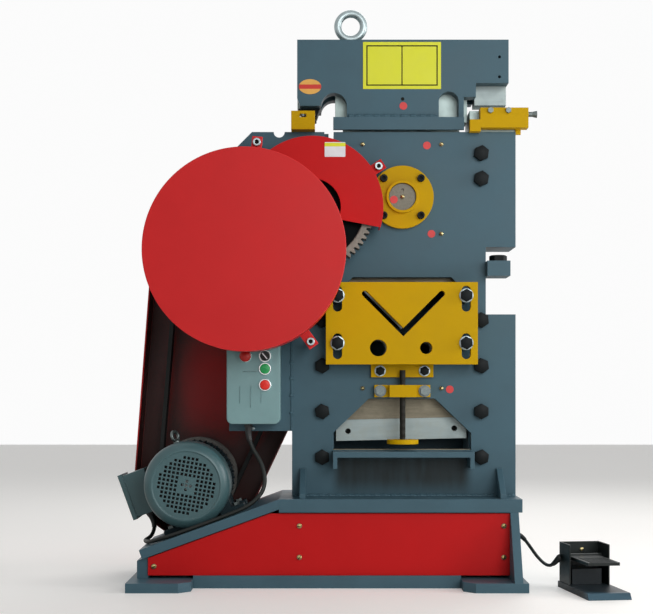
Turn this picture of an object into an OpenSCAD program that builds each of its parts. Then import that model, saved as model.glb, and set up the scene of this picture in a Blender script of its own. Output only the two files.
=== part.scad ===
// Mechanical ironworker: punch, section cutter, plate shear and notcher on one ram
// X runs to the right, Y away from the operator and Z up; Y = 0 is the frame's front face while modelling

/* [Base] */
// Height of the top plate's upper face above the floor
base_h = 235; // [225:1:255]
// Thickness of a foot
foot_t = 25; // [20:1:30]
// Width of a foot
foot_w = 167; // [150:1:180]
// How far a foot reaches past the top plate, front and back
foot_reach = 90; // [70:1:110]
// Thickness of the top plate
top_t = 35; // [28:1:40]
// How far the top plate stands out in front of the frame
top_front = 115; // [105:1:125]
// How far the top plate stands out behind the frame
top_back = 86; // [76:1:90]
// Height of the rails between the feet
rail_h = 33; // [28:1:40]
// Thickness of the base panels
panel_t = 6; // [3:1:10]
// Slope of the motor plate in degrees
slope = 20; // [18:1:21]
// Thickness of the motor plate
slope_t = 25; // [18:1:28]
// How far the motor plate runs out beside the top plate
slope_run = 370; // [360:1:390]

/* [Frame] */
// Width of the frame
frame_w = 608; // [604:1:640]
// Height of the frame above the base
frame_h = 990; // [985:1:1030]
// Thickness of a frame plate
plate_t = 40; // [36:1:46]
// Room between the frame plates for the ram
ram_gap = 64; // [60:1:70]
// Height of the lower right step above the base
step_h = 494; // [484:1:500]
// Height of the open throat above the step
throat_h = 183; // [175:1:190]
// Depth of the throat from the frame's right edge
throat_in = 81; // [76:1:84]
// Width of the drive bracket beside the frame
bracket_w = 171; // [168:1:180]
// Height of the drive bracket's lower edge above the base
bracket_lift = 177; // [165:1:185]
// Thickness of a drive bracket plate
bracket_t = 30; // [26:1:34]

/* [Ram] */
// Width of the ram's stem
ram_w = 320; // [310:1:322]
// Stroke of the ram
stroke = 30; // [24:1:31]
// Length of the ram's head
head_w = 575; // [565:1:580]
// Height of the ram's head above the frame
head_h = 251; // [245:1:270]
// Radius of the eccentric shaft
shaft_r = 36; // [33:1:36]
// Radius of the eccentric journal
journal_r = 52; // [50:1:54]

/* [Gears] */
// Module of the first gear pair
first_module = 5; // [5]
// Teeth of the drive pinion
pinion1_teeth = 21; // [21]
// Teeth of the front gear
front_teeth = 64; // [64]
// Module of the second gear pair
second_module = 6; // [6]
// Teeth of the second pinion
pinion2_teeth = 18; // [18]
// Teeth of the main gear
main_teeth = 64; // [64]
// Face width of the gears
gear_w = 53; // [45:1:60]
// Radius of the drive shafts
drive_r = 28; // [24:1:30]

/* [Flywheel and belts] */
// Radius of the flywheel
fly_r = 240; // [220:1:246]
// Width of the flywheel
fly_w = 80; // [70:1:90]
// Radius of the flywheel guard
fly_guard_r = 262; // [258:1:268]
// Radius of the gear guard
gear_guard_r = 188; // [180:1:190]
// Pitch radius of the belt pulley
big_pitch_r = 224; // [215:1:230]
// Pitch radius of the motor pulley
small_pitch_r = 112; // [105:1:118]
// Number of V-belts
belt_count = 3; // [2:1:3]
// Thickness of the guard sheet
sheet = 4; // [3:1:5]

/* [Motor] */
// Shaft height of the motor above the motor plate
motor_h = 117; // [117:1:120]
// Radius of the motor cowl
cowl_r = 116; // [114:1:116]
// Length of the motor cowl
cowl_len = 103; // [95:1:110]
// Length of the finned motor frame
motor_len = 225; // [215:1:230]
// Number of cooling fins
fin_count = 40; // [30:1:44]
// Pitch of the cowl's grille holes
grille_pitch = 11; // [11:1:14]

/* [Section station] */
// Width of the section plate
section_w = 406; // [400:1:412]
// Height of the section plate
section_h = 220; // [216:1:226]
// Thickness of the section plate
section_t = 30; // [24:1:34]
// Width of the V-slot
v_w = 16; // [12:1:18]
// Gap between the section plate and the frame
section_off = 40; // [38:1:46]

/* [Shear] */
// Height of the shear opening's sill above the base
sill_h = 125; // [120:1:130]
// Height of the shear opening
shear_h = 140; // [136:1:144]
// Width of the shear opening
shear_w = 376; // [370:1:380]
// Thickness of the shear blades
blade_t = 25; // [20:1:28]
// Height of the upper blade
blade_h = 58; // [50:1:62]
// Depth of the support table
table_d = 90; // [75:1:100]
// Radius of the hold-down screw
screw_r = 7.75; // [6:0.25:9]
// Radius of the hold-down foot
foot_disc_r = 42.5; // [36:0.5:46]

/* [Control box] */
// Width of the control box
box_w = 142; // [136:1:146]
// Height of the control box
box_h = 230; // [215:1:240]
// Depth of the control box
box_d = 85; // [78:1:88]

/* [Pedal] */
// Width of the pedal's base
pedal_w = 112; // [108:1:122]
// Length of the pedal's base
pedal_len = 256; // [248:1:270]
// Height of the pedal's hood
hood_h = 105; // [98:1:114]
// Turn of the pedal on the floor in degrees
pedal_turn = 8; // [0:1:12]

/* [Hidden] */
$fn = 64;
over = 1;
weld_gap = 0.2;
seat_gap = 0.05;
run_gap = 0.05;
slide_gap = 1;
clear_gap = 0.4;

// Main places along X, from the plane that the frame's left edge is set from
frame_datum = 87;
frame_left = -frame_datum;
frame_right = frame_left + frame_w;
top_side = 32;
top_over = 3;
top_left = frame_left - top_side;
top_right = frame_right + top_over;
slope_left = top_left - slope_run;
foot_side = 24;
foot_over = 5;
base_left = slope_left - foot_side;
base_right = top_right + foot_over;
upper_in = 113;
upper_left = frame_left + upper_in;
throat_x = frame_right - throat_in;
bracket_left = frame_left - bracket_w;
ram_off = 299;
ram_x = frame_left + ram_off;
ram_left = ram_x - ram_w / 2;
ram_right = ram_x + ram_w / 2;

// Main places along Y
frame_d = 2 * plate_t + ram_gap;
mid_y = frame_d / 2;
ram_front = plate_t + slide_gap;
ram_t = ram_gap - 2 * slide_gap;
ram_back = ram_front + ram_t;
base_front = -top_front;
base_back = frame_d + top_back;
rear_bracket_y = frame_d - bracket_t;

// Main places along Z
frame_top = base_h + frame_h;
step_z = base_h + step_h;
throat_z = step_z + throat_h;
shoulder_h = 525;
shoulder_z = base_h + shoulder_h;
bracket_z = base_h + bracket_lift;
head_top = frame_top + head_h;

// Shaft places: the two centre distances follow from the gears
ecc_drop = 179;
ecc_at = [ram_x, frame_top - ecc_drop];
first_distance = first_module * (pinion1_teeth + front_teeth) / 2;
second_distance = second_module * (pinion2_teeth + main_teeth) / 2;
second_angle = 189;
first_angle = 215;
gear_at = ecc_at + second_distance * [cos(second_angle), sin(second_angle)];
fly_at = gear_at + first_distance * [cos(first_angle), sin(first_angle)];

// Places of the drive in front of the frame
housing_t = 18;
bracket_slot = [25, 95];
bracket_corner = 62;
bracket_notch_in = 136;
bracket_notch_r = 15;
gear_back_gap = 43;
gear_y = -gear_back_gap - gear_w;
gear_room = 12;
gear_guard_y = gear_y - gear_room - sheet;
guard_step = 4;
fly_room_back = 19;
fly_room_front = 11;
fly_back = gear_guard_y - guard_step;
fly_y = fly_back - fly_room_back - fly_w;
fly_front = fly_y - fly_room_front - sheet;

// Places of the drive behind the frame
main_gap = 24;
main_y = frame_d + main_gap;
main_w = 56;
main_back = main_y + main_w + gear_room;
belt_front = main_back + guard_step + 2 * over;
pulley_room = 16;
belt_step = 19;
pulley_edge = 13;
pulley_w = (belt_count - 1) * belt_step + 2 * pulley_edge;
pulley_y = belt_front + pulley_room;
belt_back_room = 24;
belt_back = pulley_y + pulley_w + belt_back_room + sheet;
belt_big_r = 295;
belt_small_r = 180;

// Base details
rail_t = 30;
foot_corner = 30;
end_t = 22;
end_inset = 10;
post_w = 30;
post_out = 7;
gusset_t = 15;
gusset_h = 75;
gusset_len = 100;
gusset_nose = 12;
gusset_left_in = 22;
gusset_right_in = 38;
panel_gap = 3;
panel_set = 10;
panel_head_r = 6.5;
panel_shank = 3;
panel_head_h = 4;
screw_edge = 16;
screw_in = 54;
screw_low = 48;
screw_high = 36;

// Frame bolts, set beside the ram's wide foot
shear_half = 181;
shear_room = 4;
bolt_r = 13.5;
bolt_head_r = 21.5;
hex_turn = 30;
bolt_head_h = 17;
bolt_left_gap = 32;
bolt_right_gap = 30;
bolt_left = ram_x - shear_half - shear_room - bolt_left_gap;
bolt_right = ram_x + shear_half + shear_room + bolt_right_gap;
bolt_first = 106;
bolt_step = 124;
top_bolt_drops = [59, 128];
bolt_spots = concat(
  [for (i = [0 : 3]) [bolt_left, base_h + bolt_first + i * bolt_step]],
  [for (i = [0 : 3]) [bolt_right, base_h + bolt_first + i * bolt_step]],
  [for (drop = top_bolt_drops) [bolt_right, frame_top - drop]]);

nipple_r = 6;
nipple_len = 12;
nipple_half = 107;
nipple_top = 4;
nipple_low = 28;
nipple_mid = 98;

// Eccentric, ram and guides
throw = stroke / 2;
yoke_share = 0.107;
yoke_slack = stroke * yoke_share + clear_gap;
ring_t = 8;
ring_r = journal_r + ring_t;
bush_t = 8;
strip_t = 12;
strip_inset = 2;
guide_gap = 0.5;
guide_left = ram_left - guide_gap - strip_t;
guide_right = ram_right + guide_gap + strip_t;
shear_head_h = 310;
shear_head_z = base_h + shear_head_h;
strip_lift = 17;
strip_z = shear_head_z + strip_lift;
strip_top_gap = 5;
guide_step_z = shear_head_z + strip_lift / 2;
bottom_spacer_h = 50;
flange_r = 85;
flange_t = 18;
lip_r = 43.6;
lip_t = 12;
lip_wall = 6.6;
flange_pcd = 142;
cap_screw_r = 10;
cap_screw_h = 12;
cap_shank_r = 6;
cap_hole_r = cap_shank_r + seat_gap;
shaft_nose = 4;
clutch_r = 62;
clutch_gap = 2;

// Section station
section_lift = 357;
section_z = base_h + section_lift;
section_shift = 4;
section_x = ram_x - section_w / 2 - section_shift;
section_front = -section_off - section_t;
opening_half = 150;
opening_low = 14;
opening_high = 18;
opening_corner = 16;
v_low = 86;
v_rise = 103;
hole_shares = [-0.165, 0.15];
hole_rs = [22.5, 16.5];
hole_low = 44;
knife_half = v_rise + v_w;
knife_wall = 20;
knife_low = section_z + hole_low - max(hole_rs) - knife_wall;
knife_h = section_z + v_low + knife_half + v_w - knife_low;
slot_half = 12.25;
slot_up = 26;
slot_down = 43;
slot_side = 31;
slot_rows = [57, 184];
section_bolt_r = 10;
section_head_r = 17.3;
section_head_h = 13;
washer_r = 19;
washer_t = 3;
tube_r = 19;
section_spots = [for (side = [slot_side, section_w - slot_side], row = slot_rows)
  [section_x + side, section_z + row]];

// Shear
sill_z = base_h + sill_h;
shear_x = ram_x - shear_w / 2;
shear_top_half = 90;
shear_wall_h = 46;
edge_lift = 23;
edge_rise = 8;
edge_in = 2;
edge_side = shear_half - edge_in;
blade_hole_r = 7.6;
blade_hole_in = 33;
blade_hole_up = 27;
ram_back_lift = 12;
lower_blade_h = 58;
lower_blade_proud = 2;
table_t = 15;
table_leg_h = 30;
table_leg_t = 11;
screw_y = -30;
screw_top = 342;
foot_disc_t = 12;
foot_lift = 18;
upper_bracket = [169, 14, 34];
upper_lift = 323;
lower_bracket = [151, 20, 33];
lower_lift = 269;
guide_block_w = 72;
guide_block_d = 48;
bracket_bolt_half = 60;
bracket_bolt_r = 6;
bracket_head_r = 13;
bracket_head_h = 9;

// Head of the ram
head_proud = 1;
head_off = 285;
head_x = ram_x - head_off;
cheek_lift = stroke + 3;
cheek_z = frame_top + cheek_lift;
left_arm_lift = 71;
left_arm_w = 65;
left_nose = 8;
left_nose_h = 22;
arch_r = 35;
arch_in = 100;
slot_arch_r = 27;
slot_arch_in = 412;
slot_arch_h = 83;
right_leg_in = 453;
right_step_in = 486;
right_step_lift = 95;
right_arm_lift = 133;
core_half = 181;
core_inset = 10;
core_notch = 19;
apron_t = 12;
apron_gap = 4.5;
apron_h = 34;
apron_left = 98;
head_hole_r = 4;
head_hole_in = 25;
head_hole_rows = [47, 101];
eye_ring_r = 35.5;
eye_bar_r = 10.5;
eye_collar_r = 26;
eye_collar_h = 10;
eye_sink = 3;
eye_in = 147;

// Punch and notching tools
gauge_in = 16;
holder_w = 58;
holder_d = 56;
holder_h = 22;
holder_taper = 8;
nut_r = 20;
nut_h = 12;
punch_r = 12;
die_r = 28;
die_h = 24;
die_proud = 3;
die_open = 18;
die_clear = 0.5;
bolster_w = 106;
bolster_h = 60;
slug_r = 16;
gauge_w = 64;
gauge_h = 50;
gauge_base = 15;
gauge_front = 42;
gauge_back = 28;
gauge_gap = 3;
gauge_slot = [18, 9];
gauge_slot_up = 33;
notch_w = 87;
notch_drop = 53;
die_wall = 16;
die_side = 32;
notch_die_h = 59;
notch_clear = 0.4;
notch_table_w = 130;
notch_table_h = 54;
notch_table_lift = 7;
notch_table_d = 38;
notch_table_in = 9;
notch_block_w = 28;
notch_block_h = 32;
notch_block_drop = 3;
notch_bracket = [14, 30, 21];
notch_screw_r = 7;
notch_screw_h = 9;
notch_screw_down = 8;
notch_screw_shares = [0.21, 0.58];
flare_r = 10;
flare_len = 25;
stop_w = 62;
stop_h = 41;
stop_lift = 102;
stop_front = 40;
stop_d = 100;
stop_bolt_r = 24.5;
stop_bolt_h = 20;
stop_bolt_share = 0.6;

// Guards and stays
tab_shares = [[0.108, 1.109], [0.6485, -0.894]];
gear_tab_shares = [[0.946, 0.6255]];
tab_half = 14;
tab_end = 16;
stay_r = 11;
gear_back = -36;
gear_cut_angle = -11;
gear_cut_drop = 19;
gear_hub_r = 75.5;
main_guard_r = 215;
main_small_r = 80;
belt_stay_r = 10;
belt_stay_at = 262;
belt_stay_angles = [80, -33.5];
guard_post_w = 60;
guard_post_d = 40;
arc_step = 3;
cover_half = 192;
cover_d = 90;
cover_drop = 33;

// Gear and wheel details
pressure = 20;
backlash = 0.5;
rim_t = 14;
web_t = 20;
hub_r = 55;
fly_rim = 60;
fly_web = 30;
pinion_over = 3;
pulley_wall = 6;
groove_depth = 14;
groove_top = 17;
groove_low = 13.8;
belt_w = 12.8;
belt_out = 4;
belt_in = 7;
flywheel_gap = 4;
housing_r = 54;
gear_housing_r = 50;
spigot_r = 44;

// Motor
motor_along = 222;
motor_dir = [cos(slope), sin(slope)];
motor_up = [-sin(slope), cos(slope)];
motor_at = [top_left, base_h] - motor_along * motor_dir + motor_h * motor_up;
motor_back = belt_front - guard_step;
motor_front = motor_back - motor_len;
cowl_lap = 12;
cowl_y = motor_front - cowl_len + cowl_lap;
cowl_wall = 2;
cowl_nose = 26;
grille_r = 76;
grille_hole_r = 4;
grille_blank = 26;
body_r = 96;
fin_r = 112;
fin_t = 3;
shield_r = 108;
shield_t = 14;
rotor_r = 14;
bearing_r = 20;
fan_r = 92;
fan_t = 4;
fan_blades = 7;
fan_blade_d = 34;
fan_gap = 14;
fan_root = 17;
pad_w = 44;
pad_t = 14;
pad_len = 50;
pad_half = 95;
pad_web = 82;
pad_rows = [40, 150];
motor_head_r = 10;
motor_head_h = 8;
terminal_x = -175;
terminal_w = 63;
terminal_z = -41;
terminal_h = 121;
terminal_y = 62;
terminal_d = 112;
lid_t = 12;
lid_lip = 5;
motor_eye_r = 13.5;
motor_eye_turn = 58;
motor_eye_bar = 4.5;
motor_eye_y = 70;

// Control box
box_lift = 21;
box_in = -1;
box_corner = 16;
box_wall = 4;
cover_t = 22;
bezel_r = 14.7;
bezel_t = 6;
button_r = 9.5;
button_cap_r = 12.2;
button_cap_t = 6;
bezel_bore_r = 12.7;
button_hole_r = 10;
button_proud = 5;
button_len = 22;
control_column = 102;
estop_column = 50;
control_rows = [104, 147, 181];
estop_r = 15.5;
estop_t = 14;
knob_r = 9.5;
knob_t = 8;
knob_turn = 40;
knob_cap_r = 12;
knob_bar = [7, 15, 27];

// Pedal
pedal_at = [696, -199];
pedal_t = 16;
pedal_lip = 12;
hood_t = 3;
hood_w = 108;
hood_d = 88;
hood_back = 8;
hood_grommet = [106, 80];
grommet_len = 4;
switch_w = 80;
switch_d = 62;
switch_h = 40;
treadle_w = 84;
treadle_len = 166;
treadle_t = 8;
treadle_lift = 68;
pin_r = 4;
pin_back = 34;
lug_r = 9;
lug_gap = 0.5;

// Cables: round points chosen by hand
motor_cable_r = 5.5;
pedal_cable_r = 4.5;
gland_r = 9;
gland_len = 16;
motor_route = [[-203, -50, 417], [-203, -50, 400], [-190, -55, 370], [-168, -68, 330], [-157, -80, 290],
  [-163, -89, 255], [-188, -94, 226], [-220, -97, 207], [-270, -99, 187], [-340, -100, 161], [-410, -97, 136],
  [-455, -70, 121], [-480, -20, 113], [-490, 35, 112], [-486, 75, 112], [-478, 105, 117], [-473, 123, 130],
  [-476, 130, 147]];
pedal_route = [[530, 60, 125], [546, 52, 119], [562, 32, 98], [576, 8, 76], [588, -20, 61], [597, -48, 54.5],
  [604, -72, 55.5], [610, -88, 62], [616.5, -97.5, 71]];
terminal_gland = motor_at + (terminal_x + terminal_w / 2) * motor_dir + (terminal_z - gland_len) * motor_up;
gland_y = motor_front + terminal_y + terminal_d / 2;
cable_sides = 10;
cable_steps = 2;

// Extents of the whole machine, for an origin under its middle
function pedal_spot(x, y) =
  let (c = cos(pedal_turn), s = sin(pedal_turn)) pedal_at + [x * c - y * s, x * s + y * c];
pedal_corners = [for (x = [-1, 1], y = [-1, 1]) pedal_spot(x * pedal_w / 2, y * pedal_len / 2)];
terminal_top = terminal_z + terminal_h + lid_lip;
terminal_reach = motor_at[0] + (terminal_x - lid_t) * motor_dir[0] + terminal_top * motor_up[0];
extent_left = min(terminal_reach, motor_at[0] - belt_small_r, base_left);
extent_right = max([for (corner = pedal_corners) corner[0]]);
extent_front = min(fly_front, min([for (corner = pedal_corners) corner[1]]));
extent_back = max(belt_back, base_back + foot_reach);
origin_x = (extent_left + extent_right) / 2;
origin_y = (extent_front + extent_back) / 2;

paint = "#566f7b";
red = "#b3181c";
yellow = "#c9a000";
steel = "#b9bfc0";
dark_steel = "#3a3d40";
black = "#1e2022";
zinc = "#c4c7c8";
bronze = "#b08d57";
green_grey = "#7f9d9c";
motor_paint = "#6b8f98";

// Helpers: a flat outline drawn in X and Z and given a depth along Y, and the same for the other axes
module along_y(y, len) {
  translate([0, y + len, 0]) rotate([90, 0, 0]) linear_extrude(len) children();
}

module along_x(x, len) {
  translate([x, 0, 0]) rotate([90, 0, 90]) linear_extrude(len) children();
}

module rod_y(at, y, len, r) {
  translate([at[0], y, at[1]]) rotate([-90, 0, 0]) cylinder(h = len, r = r);
}

module hex_y(at, y, len, r) {
  translate([at[0], y, at[1]]) rotate([-90, 0, 0]) rotate(hex_turn) cylinder(h = len, r = r, $fn = 6);
}

module spin_y(at) {
  translate([at[0], 0, at[1]]) rotate([-90, 0, 0]) rotate_extrude() children();
}

module spots(list) {
  for (at = list) translate(at) children();
}

module rounded(w, h, r) {
  translate([r, 0]) square([w - 2 * r, h]);
  translate([0, r]) square([w, h - 2 * r]);
  for (x = [r, w - r], y = [r, h - r]) translate([x, y]) circle(r);
}

// Outline of a loop round two circles, as a belt or its guard has
function loop_arc(c, r, a0, a1) =
  [for (i = [0 : ceil((a1 - a0) / arc_step)])
    let (a = a0 + (a1 - a0) * i / ceil((a1 - a0) / arc_step)) c + r * [cos(a), sin(a)]];

function loop_points(c1, r1, c2, r2) =
  let (d = c2 - c1, len = norm(d), along = atan2(d[1], d[0]), lean = acos((r1 - r2) / len))
  concat(loop_arc(c2, r2, along - lean, along + lean), loop_arc(c1, r1, along + lean, along + 360 - lean));

module loop(c1, r1, c2, r2) {
  polygon(loop_points(c1, r1, c2, r2));
}

// Gear outline with involute flanks, one tooth centred on the X axis
function involute(a) = tan(a) * 180 / PI - a;

function tooth_half(r, m, teeth) =
  let (pitch_r = m * teeth / 2, base_r = pitch_r * cos(pressure))
  90 / teeth - backlash / 2 / pitch_r * 90 / PI + involute(pressure)
    - (r > base_r ? involute(acos(base_r / r)) : 0);

function flank_radii(m, teeth) =
  let (pitch_r = m * teeth / 2, base_r = pitch_r * cos(pressure),
    root_r = pitch_r - 1.25 * m, tip_r = pitch_r + m, start_r = max(root_r, base_r))
  concat(root_r < base_r ? [root_r] : [], [for (i = [0 : 4]) start_r + (tip_r - start_r) * i / 4]);

function gear_points(m, teeth) =
  let (radii = flank_radii(m, teeth), last = len(radii) - 1)
  [for (tooth = [0 : teeth - 1], side = [-1, 1], i = [0 : last])
    let (r = radii[side < 0 ? i : last - i],
      a = tooth * 360 / teeth + side * tooth_half(r, m, teeth))
    r * [cos(a), sin(a)]];

module gear_outline(m, teeth) {
  polygon(gear_points(m, teeth));
}

// Frame outlines
function slope_under(x) = base_h - (top_left - x) * tan(slope) - slope_t / cos(slope);

module frame_outline() {
  polygon([[frame_left, base_h], [frame_right, base_h], [frame_right, step_z], [throat_x, step_z],
    [throat_x, throat_z], [frame_right, throat_z], [frame_right, frame_top], [upper_left, frame_top],
    [upper_left, shoulder_z], [frame_left, shoulder_z]]);
}

module shear_opening(drop) {
  polygon([[shear_x, sill_z - drop], [shear_x + shear_w, sill_z - drop],
    [shear_x + shear_w, sill_z + shear_wall_h], [ram_x + shear_top_half, sill_z + shear_h],
    [ram_x - shear_top_half, sill_z + shear_h], [shear_x, sill_z + shear_wall_h]]);
}

module section_opening() {
  low = section_z + opening_low;
  high = section_z + section_h + opening_high;
  polygon([[ram_x - opening_half, low], [ram_x + opening_half, low],
    [ram_x + opening_half, high - opening_corner], [ram_x + opening_half - opening_corner, high],
    [ram_x - opening_half + opening_corner, high], [ram_x - opening_half, high - opening_corner]]);
}

// V-shaped slot: two arms with round ends that meet in a point below
module v_slot(w, rise) {
  for (side = [-1, 1])
    translate([ram_x, section_z + v_low]) rotate(side > 0 ? 45 : 135) {
      translate([-w / 2, -w / 2]) square([rise * sqrt(2) + w / 2, w]);
      translate([rise * sqrt(2), 0]) circle(w / 2);
    }
}

module bar_holes(grow) {
  for (i = [0, 1])
    translate([ram_x + hole_shares[i] * section_w, section_z + hole_low]) circle(hole_rs[i] + grow);
}

module bracket_outline() {
  difference() {
    polygon([[bracket_left, bracket_z], [frame_left, bracket_z], [frame_left, shoulder_z],
      [upper_left, shoulder_z], [upper_left, frame_top], [bracket_left + bracket_corner, frame_top],
      [bracket_left, frame_top - bracket_corner]]);
    translate([upper_left - bracket_slot[0], frame_top - bracket_slot[1]])
      square(bracket_slot + [over, over]);
    translate([bracket_left + bracket_notch_in, frame_top]) circle(bracket_notch_r);
  }
}

// Base
module foot_outline(w, left_cut) {
  near = base_front - foot_reach;
  far = base_back + foot_reach;
  cut_l = left_cut ? foot_corner : 0;
  cut_r = left_cut ? 0 : foot_corner;
  polygon([[cut_l, near], [w - cut_r, near], [w, near + cut_r], [w, far - cut_r], [w - cut_r, far],
    [cut_l, far], [0, far - cut_l], [0, near + cut_l]]);
}

module feet() {
  color(paint) {
    translate([base_left, 0, 0]) linear_extrude(foot_t) foot_outline(foot_w, false);
    translate([base_right - foot_w, 0, 0]) linear_extrude(foot_t) foot_outline(foot_w, true);
  }
}

module base_frame() {
  rail_left = base_left + foot_w + weld_gap;
  rail_len = base_right - base_left - 2 * (foot_w + weld_gap);
  end_z = base_h - top_t - weld_gap;
  depth = base_back - base_front;
  color(paint) {
    for (y = [base_front, base_back - rail_t]) translate([rail_left, y, 0]) cube([rail_len, rail_t, rail_h]);
    translate([top_left, base_front, base_h - top_t]) cube([top_right - top_left, depth, top_t]);
    along_y(base_front, depth) motor_plate_outline();
    along_y(base_front + panel_set + panel_t + weld_gap, depth - 2 * (panel_set + panel_t + weld_gap))
      left_post_outline();
    along_x(top_right - end_inset - end_t, end_t)
      polygon([[base_front - foot_reach, foot_t], [base_back + foot_reach, foot_t], [base_back, end_z],
        [base_front, end_z]]);
    for (x = [frame_left + gusset_left_in, frame_right - gusset_right_in - gusset_t]) {
      along_x(x, gusset_t) gusset_outline(0, -1);
      along_x(x, gusset_t) gusset_outline(frame_d, 1);
    }
  }
}

module motor_plate_outline() {
  right = top_left - weld_gap;
  top_z = base_h - weld_gap * tan(slope);
  low = [slope_left, base_h - slope_run * tan(slope)];
  polygon([low, low - slope_t * motor_up, [right, slope_under(right)], [right, top_z]]);
}

module left_post_outline() {
  x0 = slope_left - post_out;
  x1 = x0 + post_w;
  polygon([[x0, foot_t], [x1, foot_t], [x1, slope_under(x1) - weld_gap], [x0, slope_under(x0) - weld_gap]]);
}

module gusset_outline(y, way) {
  z = base_h + weld_gap;
  polygon([[y, z], [y + way * gusset_len, z], [y + way * gusset_len, z + gusset_nose],
    [y + way * gusset_nose, z + gusset_h], [y, z + gusset_h]]);
}

function panel_left() = slope_left - post_out + post_w;
function panel_right() = top_right - end_inset - end_t;
function screw_spots() = [[panel_left() + screw_edge, rail_h + screw_low / 2],
  [top_left + screw_in, rail_h + screw_low], [top_left + screw_in, base_h - top_t - screw_high],
  [panel_right() - screw_edge, rail_h + screw_low],
  [panel_right() - screw_edge, base_h - top_t - screw_high]];

module panel_outline() {
  high = base_h - top_t - panel_gap;
  bend = top_left + (slope_t / cos(slope) - top_t) / tan(slope);
  difference() {
    polygon([[panel_left(), rail_h], [panel_right() - weld_gap, rail_h], [panel_right() - weld_gap, high],
      [bend, high], [panel_left(), slope_under(panel_left()) - panel_gap]]);
    spots(screw_spots()) circle(panel_shank + seat_gap);
  }
}

module base_panels() {
  color(red) {
    along_y(base_front + panel_set, panel_t) panel_outline();
    along_y(base_back - panel_set - panel_t, panel_t) panel_outline();
  }
}

// Frame
module front_plate() {
  color(paint) difference() {
    along_y(0, plate_t) difference() {
      frame_outline();
      shear_opening(0);
      section_opening();
      translate(ecc_at) circle(shaft_r + bush_t + seat_gap);
      spots(bolt_spots) circle(bolt_r + clear_gap);
      spots(section_spots) circle(section_bolt_r + clear_gap);
      spots(strap_spots()) circle(bracket_bolt_r + clear_gap);
    }
    translate([shear_x, plate_t - blade_t, sill_z + lower_blade_proud - lower_blade_h])
      cube([shear_w, blade_t + over, lower_blade_h + over]);
  }
}

module rear_plate() {
  color(paint) along_y(frame_d - plate_t, plate_t) difference() {
    frame_outline();
    shear_opening(lower_blade_h);
    section_opening();
    translate(ecc_at) circle(shaft_r + bush_t + seat_gap);
    spots(bolt_spots) circle(bolt_r + clear_gap);
  }
}

module left_block_outline() {
  low_x = ram_x - shear_half - shear_room;
  polygon([[frame_left, base_h], [low_x, base_h], [low_x, guide_step_z], [guide_left, guide_step_z],
    [guide_left, frame_top], [upper_left, frame_top], [upper_left, shoulder_z], [frame_left, shoulder_z]]);
}

module right_block_outline() {
  low_x = ram_x + shear_half + shear_room;
  polygon([[low_x, base_h], [frame_right, base_h], [frame_right, step_z], [throat_x, step_z],
    [throat_x, throat_z], [frame_right, throat_z], [frame_right, frame_top], [guide_right, frame_top],
    [guide_right, guide_step_z], [low_x, guide_step_z]]);
}

module frame_spacers() {
  low_x = ram_x - shear_half;
  color(paint) {
    along_y(plate_t, ram_gap) difference() {
      union() {
        left_block_outline();
        right_block_outline();
      }
      spots(bolt_spots) circle(bolt_r + clear_gap);
    }
    translate([low_x, plate_t, base_h]) cube([2 * shear_half, ram_gap, bottom_spacer_h]);
    for (at = section_spots) difference() {
      rod_y(at, -section_off + guide_gap, section_off - guide_gap, tube_r);
      rod_y(at, -section_off - over, section_off + 2 * over, section_bolt_r + clear_gap);
    }
  }
}

module bush(at, y, len, r) {
  difference() {
    rod_y(at, y, len, r + bush_t);
    rod_y(at, y - over, len + 2 * over, r + run_gap);
  }
}

module bronze_bearings() {
  strip_len = frame_top - strip_top_gap - strip_z;
  color(bronze) {
    for (x = [guide_left, guide_right - strip_t])
      translate([x, plate_t + strip_inset, strip_z]) cube([strip_t, ram_gap - 2 * strip_inset, strip_len]);
    bush(ecc_at, 0, plate_t, shaft_r);
    bush(ecc_at, frame_d - plate_t, plate_t, shaft_r);
    for (at = [gear_at, fly_at]) {
      bush(at, -housing_t, bracket_t + housing_t, drive_r);
      bush(at, rear_bracket_y, bracket_t + housing_t, drive_r);
    }
  }
}

module drive_bracket() {
  side_gap = bracket_t + weld_gap;
  side_len = frame_d - 2 * side_gap;
  punch_at = [punch_x(), mid_y];
  color(paint) {
    for (y = [0, rear_bracket_y]) along_y(y, bracket_t) difference() {
      bracket_outline();
      translate(gear_at) circle(spigot_r + seat_gap);
      translate(fly_at) circle(spigot_r + seat_gap);
    }
    translate([bracket_left, side_gap, bracket_z]) cube([strip_t, side_len, fly_at[1] - bracket_z]);
    difference() {
      translate([punch_x() - bolster_w / 2, side_gap, frame_top - bolster_h])
        cube([bolster_w, side_len, bolster_h]);
      translate([punch_at[0], punch_at[1], frame_top + die_proud - die_h])
        cylinder(h = die_h, r = die_r + seat_gap);
      translate([punch_at[0], punch_at[1], frame_top - bolster_h - over])
        cylinder(h = bolster_h + over, r = slug_r);
    }
  }
}

module housing(at, y, inner_y, r) {
  difference() {
    union() {
      rod_y(at, y, housing_t, r);
      rod_y(at, inner_y, bracket_t, spigot_r);
    }
    rod_y(at, min(y, inner_y) - over, bracket_t + housing_t + 2 * over, drive_r + bush_t + seat_gap);
  }
}

module shaft_housings() {
  color(paint) {
    housing(fly_at, -housing_t, 0, housing_r);
    housing(gear_at, -housing_t, 0, gear_housing_r);
    housing(fly_at, frame_d, rear_bracket_y, housing_r);
    housing(gear_at, frame_d, rear_bracket_y, gear_housing_r);
  }
}

function flange_spots() =
  [for (i = [0 : 3]) ecc_at + flange_pcd / 2 * [cos(45 + 90 * i), sin(45 + 90 * i)]];

module bearing_flange() {
  hole_r = lip_r - lip_wall;
  color(yellow) difference() {
    spin_y(ecc_at) polygon([[hole_r, 0], [flange_r, 0], [flange_r, -flange_t], [lip_r, -flange_t],
      [lip_r, -flange_t - lip_t], [hole_r, -flange_t - lip_t]]);
    for (at = flange_spots()) rod_y(at, -flange_t - over, flange_t + 2 * over, cap_hole_r);
  }
}

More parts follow.
